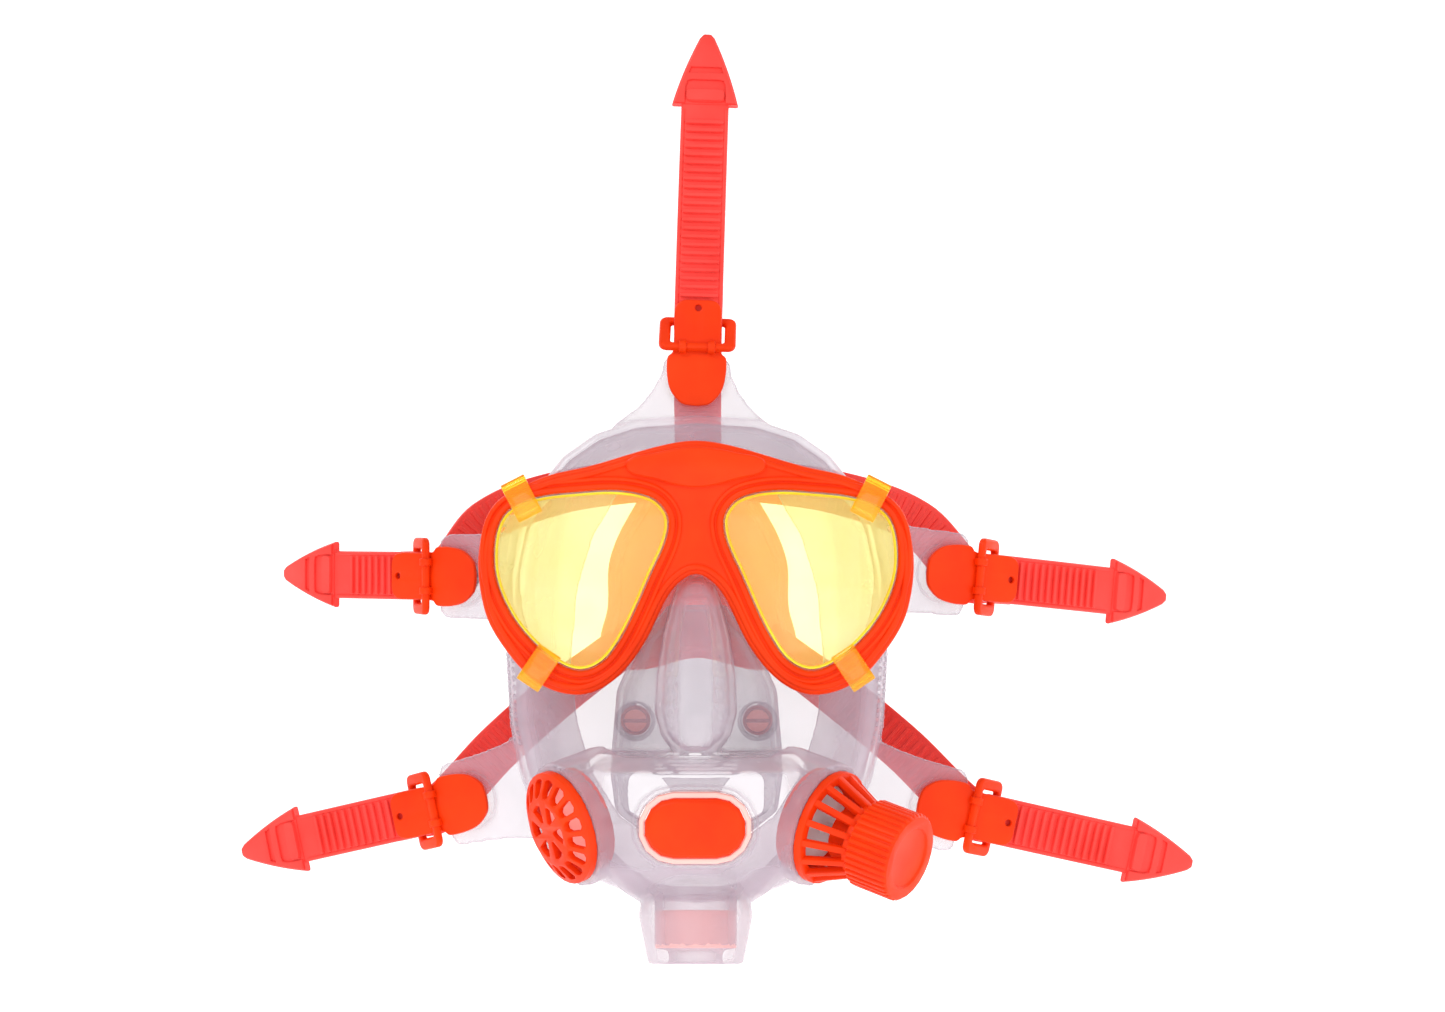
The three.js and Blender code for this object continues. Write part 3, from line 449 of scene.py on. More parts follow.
def lens_frame(plastic):
    """Frame with a lip and a ridge round each window, a ridge along its outside and a raised brow panel."""
    outlines = [frame_outline, *windows.values()]
    body_front = FRAME_FRONT + 0.9 * MM
    ridge_y = FRAME_FRONT + 1.1 * MM
    lip = round_profile(1.5 * MM, 1.3 * MM, ridge_y, 1.6 * MM)
    middle = round_profile(4.3 * MM, 1.0 * MM, ridge_y, 1.15 * MM)
    outer = round_profile(-2.9 * MM, 1.3 * MM, ridge_y, 1.2 * MM)
    pieces = [curve_sheet("frame_body", outlines, body_front, FRAME_REAR, 1.6 * MM, plastic, 4)]
    for letter, outline in windows.items():
        pieces.append(edge_band(f"inner_lip_{letter}", outline, lip, plastic))
        pieces.append(edge_band(f"mid_ridge_{letter}", outline, middle, plastic))
    pieces.append(edge_band("outer_ridge", frame_outline, outer, plastic))
    brow = spline_loop(in_metres(BROW), 80)
    brow_front = FRAME_FRONT - 1.4 * MM
    brow_rear = FRAME_REAR - 3 * MM
    pieces.append(curve_sheet("brow_panel", [brow], brow_front, brow_rear, 1.2 * MM, plastic, 4))
    frame_piece = join("lens_frame_moulding", pieces)
    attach(frame_piece, "root")
    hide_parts("lens_frame")


GLASS_OVERLAP = 1.6 * MM
FILTER_GAP = 1.6 * MM
FILTER_THICKNESS = 2 * MM
FILTER_PLAY = 0.7 * MM
FILTER_RIM = 1 * MM
# Hook clips of the filter with positive x: centre (x, z) in millimetres, and the way over the rim in degrees.
CLIPS = (((67.2, 62.2), 63), ((60.5, -3), -56))


def glass_and_filter(letter, glass_material, tint, edge, clip):
    """One eye's glass, and in front of it the tinted filter with its rim and two hook clips."""
    outline = windows[letter]
    low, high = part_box(f"glass_lens_{letter}")
    glass_outline = grown(outline, GLASS_OVERLAP)
    glass = curve_sheet(f"lens_{letter}", [glass_outline], low.y, high.y, 0.5 * MM, glass_material)
    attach(glass, "root")
    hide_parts(f"glass_lens_{letter}")
    rear = low.y - FILTER_GAP
    front = rear - FILTER_THICKNESS
    plate = curve_sheet(f"filter_plate_{letter}", [grown(outline, -FILTER_PLAY)], front, rear, 0.4 * MM, tint)
    outside, inside = -FILTER_PLAY, -FILTER_PLAY - FILTER_RIM
    rim_profile = [
        (outside, rear), (outside, front - 0.2 * MM), (inside + 0.3 * MM, front - 0.3 * MM),
        (inside, front), (inside, rear),
    ]
    rim = edge_band(f"filter_rim_{letter}", outline, rim_profile, edge)
    side = -1 if letter == "l" else 1
    clips = []
    for (x, z), degrees in CLIPS:
        outward = degrees if side > 0 else 180 - degrees
        clips.append(hook_clip((side * x * MM, z * MM), outward, clip))
    filter_piece = join(f"tinted_filter_{letter}", [plate, rim, *clips])
    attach(filter_piece, f"filter_{letter}")
    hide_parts(f"tint_filter_{letter}")


def hook_clip(centre, degrees, material):
    """Bent strip over the rim: a short inner foot, a bridge and a longer outer hook."""
    proud = 1.9 * MM
    half = 8 * MM
    top = FRAME_FRONT - 0.3 * MM - proud
    width = 10 * MM
    section = [
        (-half, top + 4.4 * MM), (-half, top + 0.6 * MM), (-half + 1 * MM, top), (half - 1.6 * MM, top),
        (half, top + 1.4 * MM), (half, top + 7.6 * MM), (half - 1.7 * MM, top + 7.8 * MM),
        (half - 1.9 * MM, top + 2.2 * MM), (half - 2.6 * MM, top + 1.7 * MM),
        (-half + 2.6 * MM, top + 1.7 * MM), (-half + 2.2 * MM, top + 2.2 * MM),
        (-half + 2.2 * MM, top + 4.4 * MM),
    ]
    rings = []
    for across in (-width / 2, -width / 4, width / 4, width / 2):
        rings.append([Vector((out, y, across)) for out, y in section])
    clip = loft("clip", rings, material)
    turn = Matrix.Translation((centre[0], 0, centre[1])) @ Matrix.Rotation(-math.radians(degrees), 4, "Y")
    clip.data.transform(turn)
    face_out(clip.data)
    bevel = clip.modifiers.new("round", "BEVEL")
    bevel.width = 0.35 * MM
    bevel.segments = 2
    apply_modifiers(clip)
    smooth_shading(clip.data, 40)
    return clip


# ---------- silicone skirt ----------
# Height, half-width and front of the nose pocket from the top down, in millimetres, then its rear and its
# roundness: 2 is an ellipse, and more is squarer.
NOSE = [
    (31, 6, -14), (22, 9.5, -25), (10, 12.5, -33), (-6, 15.2, -41),
    (-20, 16, -46), (-29, 13.5, -47), (-36.6, 7.5, -45),
]
NOSE_REAR_Y = 8
NOSE_EXPONENT = 2.6


def nose_at(z):
    """Half-width and front of the nose pocket at a height, in millimetres."""
    for (z0, half0, front0), (z1, half1, front1) in zip(NOSE, NOSE[1:]):
        if z1 <= z <= z0:
            share = (z0 - z) / (z0 - z1)
            return half0 + share * (half1 - half0), front0 + share * (front1 - front0)
    raise ValueError(z)


def nose_surface(share, z):
    """Point on the nose pocket's front at a share of its half-width, in millimetres."""
    half, front = nose_at(z)
    depth = (NOSE_REAR_Y - front) / 2
    fall = (1 - share ** NOSE_EXPONENT) ** (1 / NOSE_EXPONENT)
    return share * half, front + depth * (1 - fall)


def nose_ridge(material):
    """Flat-topped ridge down the middle of the nose pocket."""
    rings = []
    for z in range(24, -33, -4):
        half, front = nose_at(z)
        width = min(6.4, half * 0.52)
        ring = [(-width - 1, front + 3), (-width, front - 1.7), (width, front - 1.7), (width + 1, front + 3)]
        rings.append([Vector((x, y, z)) * MM for x, y in ring])
    return loft("nose_ridge", rings, material)


def nose_ladder(side, material):
    """Short level ribs beside the nose ridge."""
    ribs = []
    for z in range(4, -30, -5):
        rings = []
        for share in (0.5, 0.62, 0.74, 0.84, 0.9):
            x, depth = nose_surface(share, z)
            rings.append([Vector((side * x, depth + dy, z + dz)) * MM
                          for dy, dz in ((1.5, -0.8), (-0.9, -0.6), (-0.9, 0.6), (1.5, 0.8))])
        ribs.append(loft("nose_rib", rings, material))
    return ribs


def organic(name, node, voxel, smoothing, material, extras=()):
    """Soft moulding made from a CAD solid: remeshed finely, then smoothed so that every join flows."""
    piece = new_object(name, frame["nodes"][node].data.copy(), material)
    weld(piece)
    if extras:
        piece = join(name, [piece, *extras])
    remesh = piece.modifiers.new("remesh", "REMESH")
    remesh.mode = "VOXEL"
    remesh.voxel_size = voxel
    flow = piece.modifiers.new("flow", "SMOOTH")
    flow.factor = 0.5
    flow.iterations = smoothing
    apply_modifiers(piece)
    smooth_shading(piece.data, 180)
    set_only_material(piece, material)
    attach(piece, "root")
    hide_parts(node)
    return piece


# Axis of each inhale flap, the room round it, and how far forward and back the flap's travel reaches.
INHALE_X = 24 * MM
INHALE_Z = -25 * MM
FLAP_ROOM = 6.6 * MM
FLAP_TRAVEL = (8.5 * MM, 13.5 * MM)


def clear_flap_travel(cup_piece):
    """Moves the cup's surface back from both inhale flaps, where smoothing has closed in on their travel."""
    front, rear = FLAP_TRAVEL
    for vertex in cup_piece.data.vertices:
        for side in (-1, 1):
            away = Vector((vertex.co.x - side * INHALE_X, 0, vertex.co.z - INHALE_Z))
            if away.length < FLAP_ROOM and front < vertex.co.y < rear:
                away = away.normalized() * FLAP_ROOM
                vertex.co.x = side * INHALE_X + away.x
                vertex.co.z = INHALE_Z + away.z


# Grip dots in millimetres: the y of each column, the step upward and the lowest z. OUTSIDE_WALL is the x
# where their rays start, between the side wall and the ears' ends.
DOT_COLUMNS = (12, 16.5, 21, 25.5, 30)
DOT_ROWS = 12
DOT_PITCH = 3.6
LOWEST_DOT = -34
OUTSIDE_WALL = 78


def grip_dots(skirt, material):
    """Rows of low dots on both side walls of the skirt."""
    tree = BVHTree.FromObject(skirt, bpy.context.evaluated_depsgraph_get())
    dots = []
    for side in (-1, 1):
        for column, y in enumerate(DOT_COLUMNS):
            for row in range(DOT_ROWS):
                z = LOWEST_DOT + DOT_PITCH * (row + column % 2 / 2)
                start = Vector((side * OUTSIDE_WALL, y, z)) * MM
                spot, normal, _face, _distance = tree.ray_cast(start, Vector((-side, 0, 0)))
                dots.append(dome_dot(spot, normal, 1.25 * MM, 0.7 * MM, material))
    piece = join("grip_dots", dots)
    smooth_shading(piece.data, 60)
    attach(piece, "root")


def dome_dot(spot, normal, radius, height, material):
    """Low round dot standing on a surface."""
    turn = normal.to_track_quat("Z", "Y")
    sides = 8
    rings = []
    for share, level in ((1.0, -0.4), (0.95, 0.2), (0.7, 0.75), (0.3, 1.0)):
        reach = radius * share
        ring = []
        for k in range(sides):
            angle = 2 * math.pi * k / sides
            local = Vector((reach * math.cos(angle), reach * math.sin(angle), height * level))
            ring.append(spot + turn @ local)
        rings.append(ring)
    return loft("dot", rings, material)


# ---------- straps and harness ----------
def buckle_place(name):
    """Matrix of a buckle's own frame: u outboard, v across, n forward, from the plate below the hinge bar."""
    joint = next(j for j in frame["joints"] if j["name"] == f"{name}_buckle_tilt")
    out = Vector(BUCKLES[name][0]).normalized()
    across = Vector(joint["axis"]).normalized()
    forward = out.cross(across)
    origin = Vector(joint["pos_m"]) - forward * HINGE_N
    place = Matrix((out, across, forward)).transposed().to_4x4()
    place.translation = origin
    return place


def tail_droop(u):
    return DROOP * (max(u - DROOP_START, 0) / DROOP_REACH) ** 2


def tail_slope(u):
    return 2 * DROOP * max(u - DROOP_START, 0) / DROOP_REACH ** 2


def strap_section(width, thickness, corner=0.7 * MM):
    """Rounded rectangle of (across, face) points."""
    steps = 3
    points = []
    radius = min(corner, thickness / 2 - 0.05 * MM, width / 2 - 0.05 * MM)
    for sx, sy, start in ((1, 1, 0), (-1, 1, 90), (-1, -1, 180), (1, -1, 270)):
        for i in range(steps + 1):
            angle = math.radians(start + 90 * i / steps)
            points.append((sx * (width / 2 - radius) + radius * math.cos(angle),
                           sy * (thickness / 2 - radius) + radius * math.sin(angle)))
    return points


def section_at(u, n, angle, section):
    """Places a section across a path point in the buckle's frame."""
    normal_u, normal_n = -math.sin(angle), math.cos(angle)
    return [Vector((u + face * normal_u, across, n + face * normal_n)) for across, face in section]


def tail_rings(length):
    """Rings from the cut in the back leg, round the outer bar and along the free tail to its arrow tip."""
    bar_u, bar_n = OUTER_BAR
    reach = bar_n - BACK_LEG_N
    section = strap_section(STRAP_WIDTH, STRAP_THICKNESS)
    rings = [section_at(FOLD_START_U, BACK_LEG_N, math.pi, section),
             section_at((FOLD_START_U + bar_u) / 2, BACK_LEG_N, math.pi, section)]
    turn_steps = 24
    for i in range(turn_steps + 1):
        angle = -math.pi / 2 - math.pi * i / turn_steps
        rings.append(section_at(bar_u + reach * math.cos(angle), bar_n + reach * math.sin(angle),
                                angle - math.pi / 2, section))
    front_n = bar_n + reach
    shoulder = length - TIP_LENGTH
    u = FRONT_LEG_START_U
    spacing = 4 * MM
    while u < shoulder - 1 * MM:
        rings.append(section_at(u, front_n - tail_droop(u), -tail_slope(u), section))
        u += spacing
    end = shoulder + 0.5 * MM
    rings.append(section_at(end, front_n - tail_droop(end), -tail_slope(end), section))
    return rings, front_n, shoulder


def arrow_width(along):
    """Width of the arrow tip at a distance from its shoulder: wide at the shoulder, blunt at the end."""
    mm = along / MM
    return (27 - 0.5 * mm - 0.0068 * mm ** 2) * MM


def tip_rings(front_n, shoulder):
    """Rings of the tip's base slab, drawn in over its last millimetre."""
    rings = []
    steps = 20
    for i in range(steps + 1):
        along = TIP_LENGTH * i / steps
        u = shoulder + along
        from_end = (TIP_LENGTH - along) / MM
        width = arrow_width(along) * (1 if from_end > 1 else 0.75 + 0.25 * from_end)
        section = strap_section(width, STRAP_THICKNESS + 0.8 * MM, 1.0 * MM)
        rings.append(section_at(u, front_n - tail_droop(u), -tail_slope(u), section))
    return rings


def raised_head(front_n, shoulder, material):
    """Raised part of the arrow tip: two side rims that meet above an open field, with a slot across."""
    edge = 0.7 * MM
    half = [(along * MM, arrow_width(along * MM) / 2 - edge) for along in (0.8, 5, 10, 15, 20, 25, 29)]
    field = [(0.8 * MM, 8.4 * MM), (8 * MM, 8.2 * MM), (10.6 * MM, 7.4 * MM), (11 * MM, 5.5 * MM)]
    side = [*half, (TIP_LENGTH - edge, 1.1 * MM)]
    outline = [*side, *((u, -v) for u, v in reversed(side)), *((u, -v) for u, v in field), *reversed(field)]
    slot = [(14 * MM, -7.2 * MM), (16.6 * MM, -6.2 * MM), (16.6 * MM, 6.2 * MM), (14 * MM, 7.2 * MM)]
    head = flat_sheet("raised_head", [outline, slot], 1.6 * MM, 0.4 * MM, material)
    level = front_n + STRAP_THICKNESS / 2 + 0.7 * MM
    for vertex in head.data.vertices:
        u = vertex.co.x + shoulder
        vertex.co = (u, vertex.co.y, vertex.co.z + level - tail_droop(u))
    return head


def rib(u, front_n, width, along, height, material):
    """Raised bar across the strap's face: rounded ends and a rounded top."""
    corner = 0.35 * MM
    squareness = 0.35
    sides = 16
    base = STRAP_THICKNESS / 2 - 0.3 * MM
    rings = []
    for top_share, inset in ((0, 0), (0.6, 0), (0.9, 0.25), (1.0, 0.6)):
        level = base + (height + 0.3 * MM) * top_share
        ring = []
        half_across = width / 2 - inset * corner
        half_along = along / 2 - inset * corner
        for k in range(sides):
            angle = 2 * math.pi * k / sides
            c, s = math.cos(angle), math.sin(angle)
            across = half_across * math.copysign(abs(c) ** squareness, c)
            out = half_along * math.copysign(abs(s) ** squareness, s)
            spot = u + out
            centre = front_n - tail_droop(spot)
            ring.append(Vector((spot + level * math.sin(tail_slope(spot)), across, centre + level)))
        rings.append(ring)
    return loft("rib", rings, material)


def strap_tail(name, material):
    """Free end of a strap: ribs inside plain borders, then an arrow tip with a pull pad."""
    place = buckle_place(name)
    out = Vector(BUCKLES[name][0]).normalized()
    reach = max((Vector(vertex.co) - place.translation).dot(out)
                for vertex in frame["nodes"][f"strap_tail_{name}"].data.vertices)
    length = round(reach / MM) * MM
    rings, front_n, shoulder = tail_rings(length)
    band = loft(f"band_{name}", rings, material)
    tip = loft(f"tip_{name}", tip_rings(front_n, shoulder), material)
    pieces = [band, tip]
    u = FLAP_LENGTH + RIB_START
    while u < shoulder - PLAIN_END:
        pieces.append(rib(u, front_n, RIB_WIDTH, RIB_LENGTH, RIB_HEIGHT, material))
        u += RIB_PITCH
    for border in (-1, 1):
        pieces.append(border_bead(border, front_n, shoulder, material))
    pieces.append(raised_head(front_n, shoulder, material))
    pull_pad_u = shoulder + 3.4 * MM
    pull_pad_height = RIB_HEIGHT + 0.6 * MM
    pieces.append(rib(pull_pad_u, front_n, RIB_WIDTH, 5 * MM, pull_pad_height, material))
    tail = join(f"rubber_tail_{name}", pieces)
    tail.data.transform(place)
    smooth_shading(tail.data, 50)
    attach(tail, f"buckle_{name}")
    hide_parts(f"strap_tail_{name}")


def border_bead(side, front_n, shoulder, material):
    """Low raised edge beside the ribs."""
    half_width, half_height = 0.9 * MM, 0.8 * MM
    centre = side * (STRAP_WIDTH / 2 - 0.95 * MM)
    sides = 10
    spacing = 3 * MM
    rings = []
    u = 13 * MM
    while u < shoulder:
        level = front_n - tail_droop(u) + STRAP_THICKNESS / 2 - 0.35 * MM
        rings.append([Vector((u, centre + half_width * math.cos(a), level + half_height * math.sin(a)))
                      for a in (2 * math.pi * k / sides for k in range(sides))])
        u += spacing
    return loft("bead", rings, material)


# Points that each arm passes on its way inward, and the point where it meets the pad, in millimetres.
ARM_ROUTES = {
    "top": (((0, 64, 104), (0, 78, 92)), (0, 84, 68)),
    "temple_l": (((-87, 65, 52), (-58, 77, 64)), (-13, 84, 70)),
    "temple_r": (((90, 65, 52), (58, 77, 64)), (13, 84, 70)),
    "cheek_l": (((-82, 67, -40), (-57, 78, -18)), (-26, 84, 6)),
    "cheek_r": (((84, 67, -40), (57, 78, -18)), (26, 84, 6)),
}


def smooth_path(knots, steps):
    """Points along a smooth open curve through knots."""
    path = []
    for i in range(len(knots) - 1):
        start, end = knots[i], knots[i + 1]
        before = knots[max(i - 1, 0)]
        after = knots[min(i + 2, len(knots) - 1)]
        reach = (end - start).length / 3
        leave = (end - before).normalized() * reach
        arrive = (after - start).normalized() * reach
        path += interpolate_bezier(start, start + leave, end - arrive, end, steps + 1)[:-1]
    return path + [knots[-1]]


def harness_arm(name, material):
    """One arm: the fold behind the buckle, then the rear leg and the run to the pad, with ribs in front."""
    place = buckle_place(name)
    fold = BUCKLES[name][1]
    across = place.to_3x3().col[1].normalized()
    radius = (BACK_LEG_N - REAR_LEG_N) / 2
    middle_n = (BACK_LEG_N + REAR_LEG_N) / 2
    start = place @ Vector((FOLD_START_U - FOLD_OVERLAP, 0, BACK_LEG_N))
    folded = [start]
    fold_steps = 16
    for i in range(fold_steps + 1):
        angle = math.pi / 2 - math.pi * i / fold_steps
        turn = Vector((fold + radius * math.cos(angle), 0, middle_n + radius * math.sin(angle)))
        folded.append(place @ turn)
    leg = place @ Vector((REAR_LEG_END_U, 0, REAR_LEG_N))
    via, pad = ARM_ROUTES[name]
    knots = [folded[-1], leg, *(Vector(p) * MM for p in via), Vector(pad) * MM]
    steps_per_span = 12
    points = folded[:-1] + smooth_path(knots, steps_per_span)
    last_run = (knots[-1] - knots[-2]).normalized()
    pad_across = last_run.cross(Vector((0, 1, 0))).normalized()
    if pad_across.dot(across) < 0:
        pad_across.negate()
    first = len(folded)
    section = strap_section(STRAP_WIDTH, STRAP_THICKNESS)
    rings, frames = [], []
    for i, point in enumerate(points):
        along = (points[min(i + 1, len(points) - 1)] - points[max(i - 1, 0)]).normalized()
        share = max(0, (i - first) / (len(points) - 1 - first))
        side = across.lerp(pad_across, share)
        side = (side - along * side.dot(along)).normalized()
        face = along.cross(side)
        rings.append([point + side * a + face * f for a, f in section])
        frames.append((point, along, side, face))
    arm = loft(f"arm_{name}", rings, material)
    ribs = arm_ribs(frames[first:], material)
    piece = join(f"rubber_arm_{name}", [arm, *ribs])
    smooth_shading(piece.data, 50)
    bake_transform(piece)


def arm_ribs(frames, material):
    """Ribs at an even pitch along the arm's front face, but for a plain stretch at the pad."""
    plain = 8
    ribs = []
    walked = 0.0
    due = 2 * MM
    for (point, along, side, face), (after, *_rest) in zip(frames[:-plain], frames[1:]):
        front = face if face.y < 0 else -face
        while walked + (after - point).length > due:
            spot = point + along * (due - walked)
            ribs.append(plain_rib(spot, along, side, front, material))
            due += RIB_PITCH
        walked += (after - point).length
    return ribs


def plain_rib(spot, along, side, front, material):
    """Bar across an arm's front face, drawn in at its top."""
    rings = []
    for level, shrink in ((0.8, 0), (1.55, 0), (1.9, 0.25)):
        half_across = RIB_WIDTH / 2 - shrink * MM
        half_along = 0.95 * MM - shrink * MM
        ring = [spot + front * level * MM + side * half_across * sx + along * half_along * sy
                for sx, sy in ((1, 1), (-1, 1), (-1, -1), (1, -1))]
        rings.append(ring)
    return loft("rib", rings, material)


def head_pad(material):
    """Rubber pad behind the head, with a raised edge."""
    half = [(14, 83), (21, 75), (25, 62), (33, 50), (38, 36), (39, 18), (42, 4), (38, -6), (24, -9)]
    points = [(0, 86), *half, (0, -4), *flip_x(half)[::-1]]
    outline = spline_loop(in_metres(points), 160)
    front, rear = 82.4 * MM, 85.6 * MM
    pad = curve_sheet("pad_sheet", [outline], front, rear, 1.2 * MM, material)
    ridge_profile = round_profile(-4 * MM, 1.2 * MM, front + 0.2 * MM, 1.0 * MM)
    ridge = edge_band("pad_ridge", outline, ridge_profile, material)
    piece = join("rubber_head_pad", [pad, ridge])
    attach(piece, "root")
    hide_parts("head_harness")


# ---------- buckle plates and frames ----------
PLATE_THICKNESS = 2.2 * MM
# One side of the plate from its cap to the end of its flap: (u, v) in millimetres.
PLATE_HALF = [
    (-23, 4.5), (-20.5, 8), (-16.5, 10.6), (-11, 11.8), (-6, 12), (-3.6, 11.6), (-2.2, 10),
    (0, 9.5), (8, 9.5), (14, 9.5), (16.9, 9.0), (18.8, 7.3), (19.5, 4.8), (19.5, 2),
]
KNUCKLE_V = 5.8 * MM
KNUCKLE_WIDTH = 2.8 * MM
FRAME_SPAN = 31 * MM
FRAME_INSIDE = 21.8 * MM
FRAME_BAR = 1.5 * MM


def circle(radius, count=24):
    return [(radius * math.cos(2 * math.pi * k / count), radius * math.sin(2 * math.pi * k / count))
            for k in range(count)]


def rounded_box(low, high, half_width, radius):
    """Outline of a box from low to high in x and centred in y, with round corners."""
    steps = 5
    corner_y = half_width - radius
    points = []
    for sx, sy, start in ((1, 1, 0), (-1, 1, 90), (-1, -1, 180), (1, -1, 270)):
        x = high - radius if sx > 0 else low + radius
        for i in range(steps + 1):
            angle = math.radians(start + 90 * i / steps)
            points.append((x + radius * math.cos(angle), sy * corner_y + radius * math.sin(angle)))
    return points


def buckle_plate(name, material):
    """Cap and flap in one sheet, with a dimple in the flap and two knuckles round the hinge bar."""
    outline = spline_loop(in_metres(PLATE_HALF + [(u, -v) for u, v in reversed(PLATE_HALF)]), 120)
    dimple_u = FLAP_LENGTH - 3.2 * MM
    dimple = [(u + dimple_u, v) for u, v in circle(1.3 * MM, 16)]
    sheet = flat_sheet("plate_sheet", [outline, dimple], PLATE_THICKNESS, 0.7 * MM, material, 4)
    sheet.data.transform(Matrix.Translation((0, 0, PLATE_THICKNESS / 2)))
    pieces = [sheet]
    upright = Matrix.Rotation(math.pi / 2, 4, "X")
    knuckle_ring = [circle(2.6 * MM), circle(1.75 * MM)]
    for side in (-1, 1):
        knuckle = flat_sheet("knuckle", knuckle_ring, KNUCKLE_WIDTH, 0.3 * MM, material)
        knuckle.data.transform(Matrix.Translation((0, side * KNUCKLE_V, HINGE_N)) @ upright)
        pieces.append(knuckle)
    plate = join(f"plate_moulding_{name}", pieces)
    plate.data.transform(buckle_place(name))
    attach(plate, "root")
    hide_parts(f"buckle_plate_{name}")


def buckle_loop(name, material):
    """Flat loop with round edges from the hinge bar down to the outer bar."""
    outer_u, outer_n = OUTER_BAR
    length = math.hypot(outer_u, outer_n - HINGE_N)
    outer = rounded_box(-FRAME_BAR, length + FRAME_BAR, FRAME_SPAN / 2, 3.2 * MM)
    inner = rounded_box(FRAME_BAR, length - FRAME_BAR, FRAME_INSIDE / 2, 1.2 * MM)
    loop = flat_sheet(f"loop_moulding_{name}", [outer, inner], 2 * FRAME_BAR, 1.0 * MM, material, 4)
    lean = math.atan2(HINGE_N - outer_n, outer_u)
    hinge = buckle_place(name) @ Matrix.Translation((0, 0, HINGE_N))
    loop.data.transform(hinge @ Matrix.Rotation(lean, 4, "Y"))
    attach(loop, f"buckle_{name}")
    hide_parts(f"buckle_frame_{name}")


# ---------- carried-over CAD pieces ----------
def finish_cad_node(node, material, width):
    """Rounds a CAD piece's edges with modifiers and gives it its material; its mesh stays as it is."""
    piece = frame["nodes"][node]
    set_only_material(piece, material)
    join_corners = piece.modifiers.new("join_corners", "WELD")
    join_corners.merge_threshold = 0.02 * MM
    flat_faces = piece.modifiers.new("flat_faces", "DECIMATE")
    flat_faces.decimate_type = "DISSOLVE"
    flat_faces.angle_limit = math.radians(1.5)
    bevel = piece.modifiers.new("round", "BEVEL")
    bevel.width = width
    bevel.segments = 2
    bevel.limit_method = "ANGLE"
    bevel.angle_limit = math.radians(30)
    smooth_shading(piece.data, 40)


# ---------- stage, in metres ----------
FLOOR_DROP = 0.09
FLOOR_NEAR_Y = -2.5
FLOOR_HALF_WIDTH = 3.5
BEND_Y = 1.0
BEND_RADIUS = 0.9
WALL_HEIGHT = 3.5
# Name, place, size and power of each light.
LIGHTS = (
    ("key", (-0.7, -1.1, 1.1), 0.7, 9),
    ("fill", (1.0, -0.9, 0.5), 0.7, 3.5),
    ("rear_left", (-1.0, 0.9, 0.9), 0.8, 5),
    ("rear_right", (1.1, 0.8, 0.7), 0.8, 5),
    ("low", (0, -1.2, -0.1), 0.5, 1),
)
LIGHT_AIM = Vector((0, 0, 0.03))


def backdrop_paper():
    """Matt white paper, lit through from behind so that it stays nearly white."""
    material, _nodes, _links, bsdf = principled("backdrop_paper")
    bsdf.inputs["Base Color"].default_value = (0.9, 0.9, 0.9, 1)
    bsdf.inputs["Roughness"].default_value = 0.9
    bsdf.inputs["Emission Color"].default_value = (1, 1, 1, 1)
    bsdf.inputs["Emission Strength"].default_value = 0.42
    return material


def backdrop():
    """Pale floor that curves up into a wall."""
    floor_z = cad_box[0][2] - FLOOR_DROP
    bend_steps = 12
    profile = [(FLOOR_NEAR_Y, floor_z), (BEND_Y, floor_z)]
    for i in range(1, bend_steps + 1):
        angle = math.pi / 2 * i / bend_steps
        rise = BEND_RADIUS * (1 - math.cos(angle))
        profile.append((BEND_Y + BEND_RADIUS * math.sin(angle), floor_z + rise))
    profile.append((BEND_Y + BEND_RADIUS, floor_z + WALL_HEIGHT))
    verts = [(x, y, z) for y, z in profile for x in (-FLOOR_HALF_WIDTH, FLOOR_HALF_WIDTH)]
    faces = [(2 * i, 2 * i + 1, 2 * i + 3, 2 * i + 2) for i in range(len(profile) - 1)]
    mesh = bpy.data.meshes.new("backdrop")
    mesh.from_pydata(verts, [], faces)
    smooth_shading(mesh, 180)
    new_object("backdrop", mesh, backdrop_paper())


def studio():
    """Backdrop, a pale world and large soft lights."""
    backdrop()
    world = bpy.data.worlds.new("studio")
    world.use_nodes = True
    world.node_tree.nodes["Background"].inputs["Color"].default_value = (1, 1, 1, 1)
    world.node_tree.nodes["Background"].inputs["Strength"].default_value = 0.55
    bpy.context.scene.world = world
    for name, place, size, power in LIGHTS:
        light = bpy.data.lights.new(name, "AREA")
        light.size = size
        light.energy = power
        lamp = bpy.data.objects.new(name, light)
        bpy.context.scene.collection.objects.link(lamp)
        lamp.location = place
        lamp.rotation_euler = (LIGHT_AIM - Vector(place)).to_track_quat("-Z", "Y").to_euler()


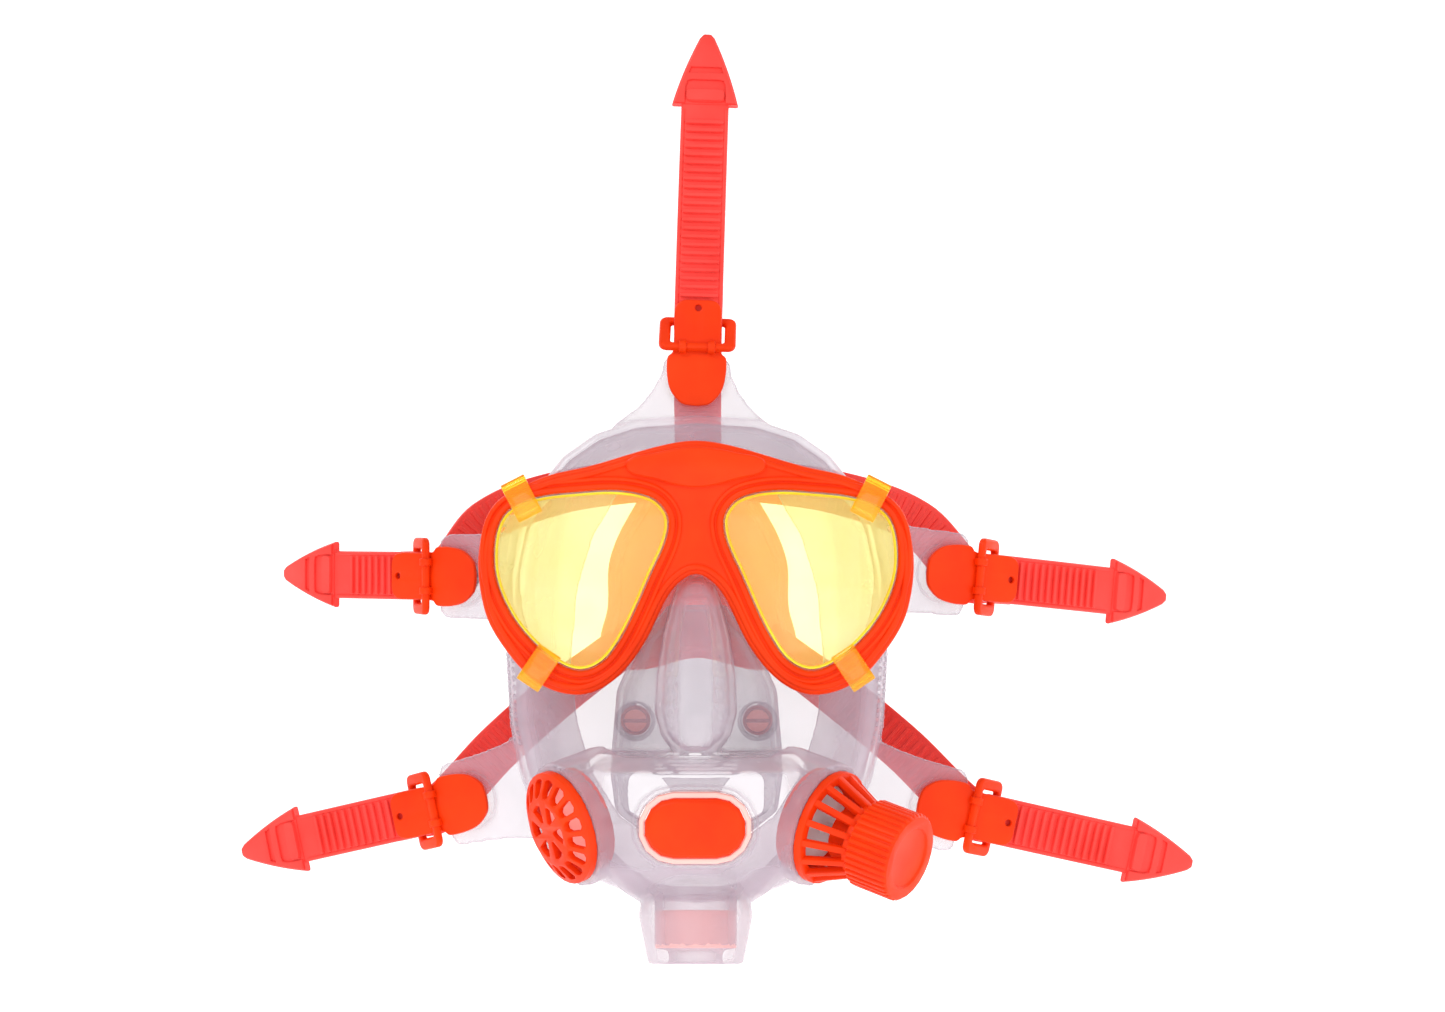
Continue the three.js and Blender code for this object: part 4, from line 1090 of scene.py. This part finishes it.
def camera():
    """Level front view from 1.25 m in front of the lens frame."""
    data = bpy.data.cameras.new("camera")
    data.sensor_width = 36
    distance = 1.25
    picture_width = 0.556
    centre_x, centre_z = 0.0102, 0.0593
    data.lens = data.sensor_width * distance / picture_width
    eye = bpy.data.objects.new("camera", data)
    bpy.context.scene.collection.objects.link(eye)
    eye.location = (centre_x, FRAME_FRONT - distance, centre_z)
    eye.rotation_euler = (math.pi / 2, 0, 0)
    bpy.context.scene.camera = eye
    bpy.context.scene.view_settings.view_transform = "Standard"


# ---------- assembly ----------
camera()
studio()
orange = orange_plastic()
coral = coral_rubber()
silicone = clear_silicone()
grey = grey_plastic()
pink = pink_rubber()
lens_frame(orange)
glass_material = lens_glass()
tint_material = yellow_filter()
edge_material = filter_edge()
clip_material = amber_clip()
for side_letter in ("l", "r"):
    glass_and_filter(side_letter, glass_material, tint_material, edge_material, clip_material)
nose_detail = [nose_ridge(silicone), *nose_ladder(-1, silicone), *nose_ladder(1, silicone)]
skirt = organic("silicone_skirt", "face_skirt", 1.2 * MM, 7, silicone, nose_detail)
grip_dots(skirt, silicone)
cup = cup_silicone()
cup_piece = organic("silicone_cup", "inner_cup", 1.2 * MM, 2, cup)
clear_flap_travel(cup_piece)
head_pad(glowing_pad_rubber())
for buckle in BUCKLES:
    strap_tail(buckle, coral)
    harness_arm(buckle, coral)
    buckle_plate(buckle, orange)
    buckle_loop(buckle, orange)
    finish_cad_node(f"buckle_stud_{buckle}", grey, 0.4 * MM)
for node in ("exhale_cover", "ambient_cage", "ambient_knob"):
    finish_cad_node(node, orange, 0.35 * MM)
finish_cad_node("port_plug", orange, 0.5 * MM)
for node in ("exhale_seat", "ambient_seat"):
    finish_cad_node(node, orange, 0.25 * MM)
finish_cad_node("ambient_stem", grey, 0.25 * MM)
for node in ("inhale_seat_l", "inhale_seat_r"):
    finish_cad_node(node, cup, 0.25 * MM)
for node in ("plug_gasket", "port_sleeve"):
    finish_cad_node(node, pink, 0.4 * MM)
for node in ("exhale_disc", "inhale_flap_l", "inhale_flap_r"):
    finish_cad_node(node, pink, 0.2 * MM)
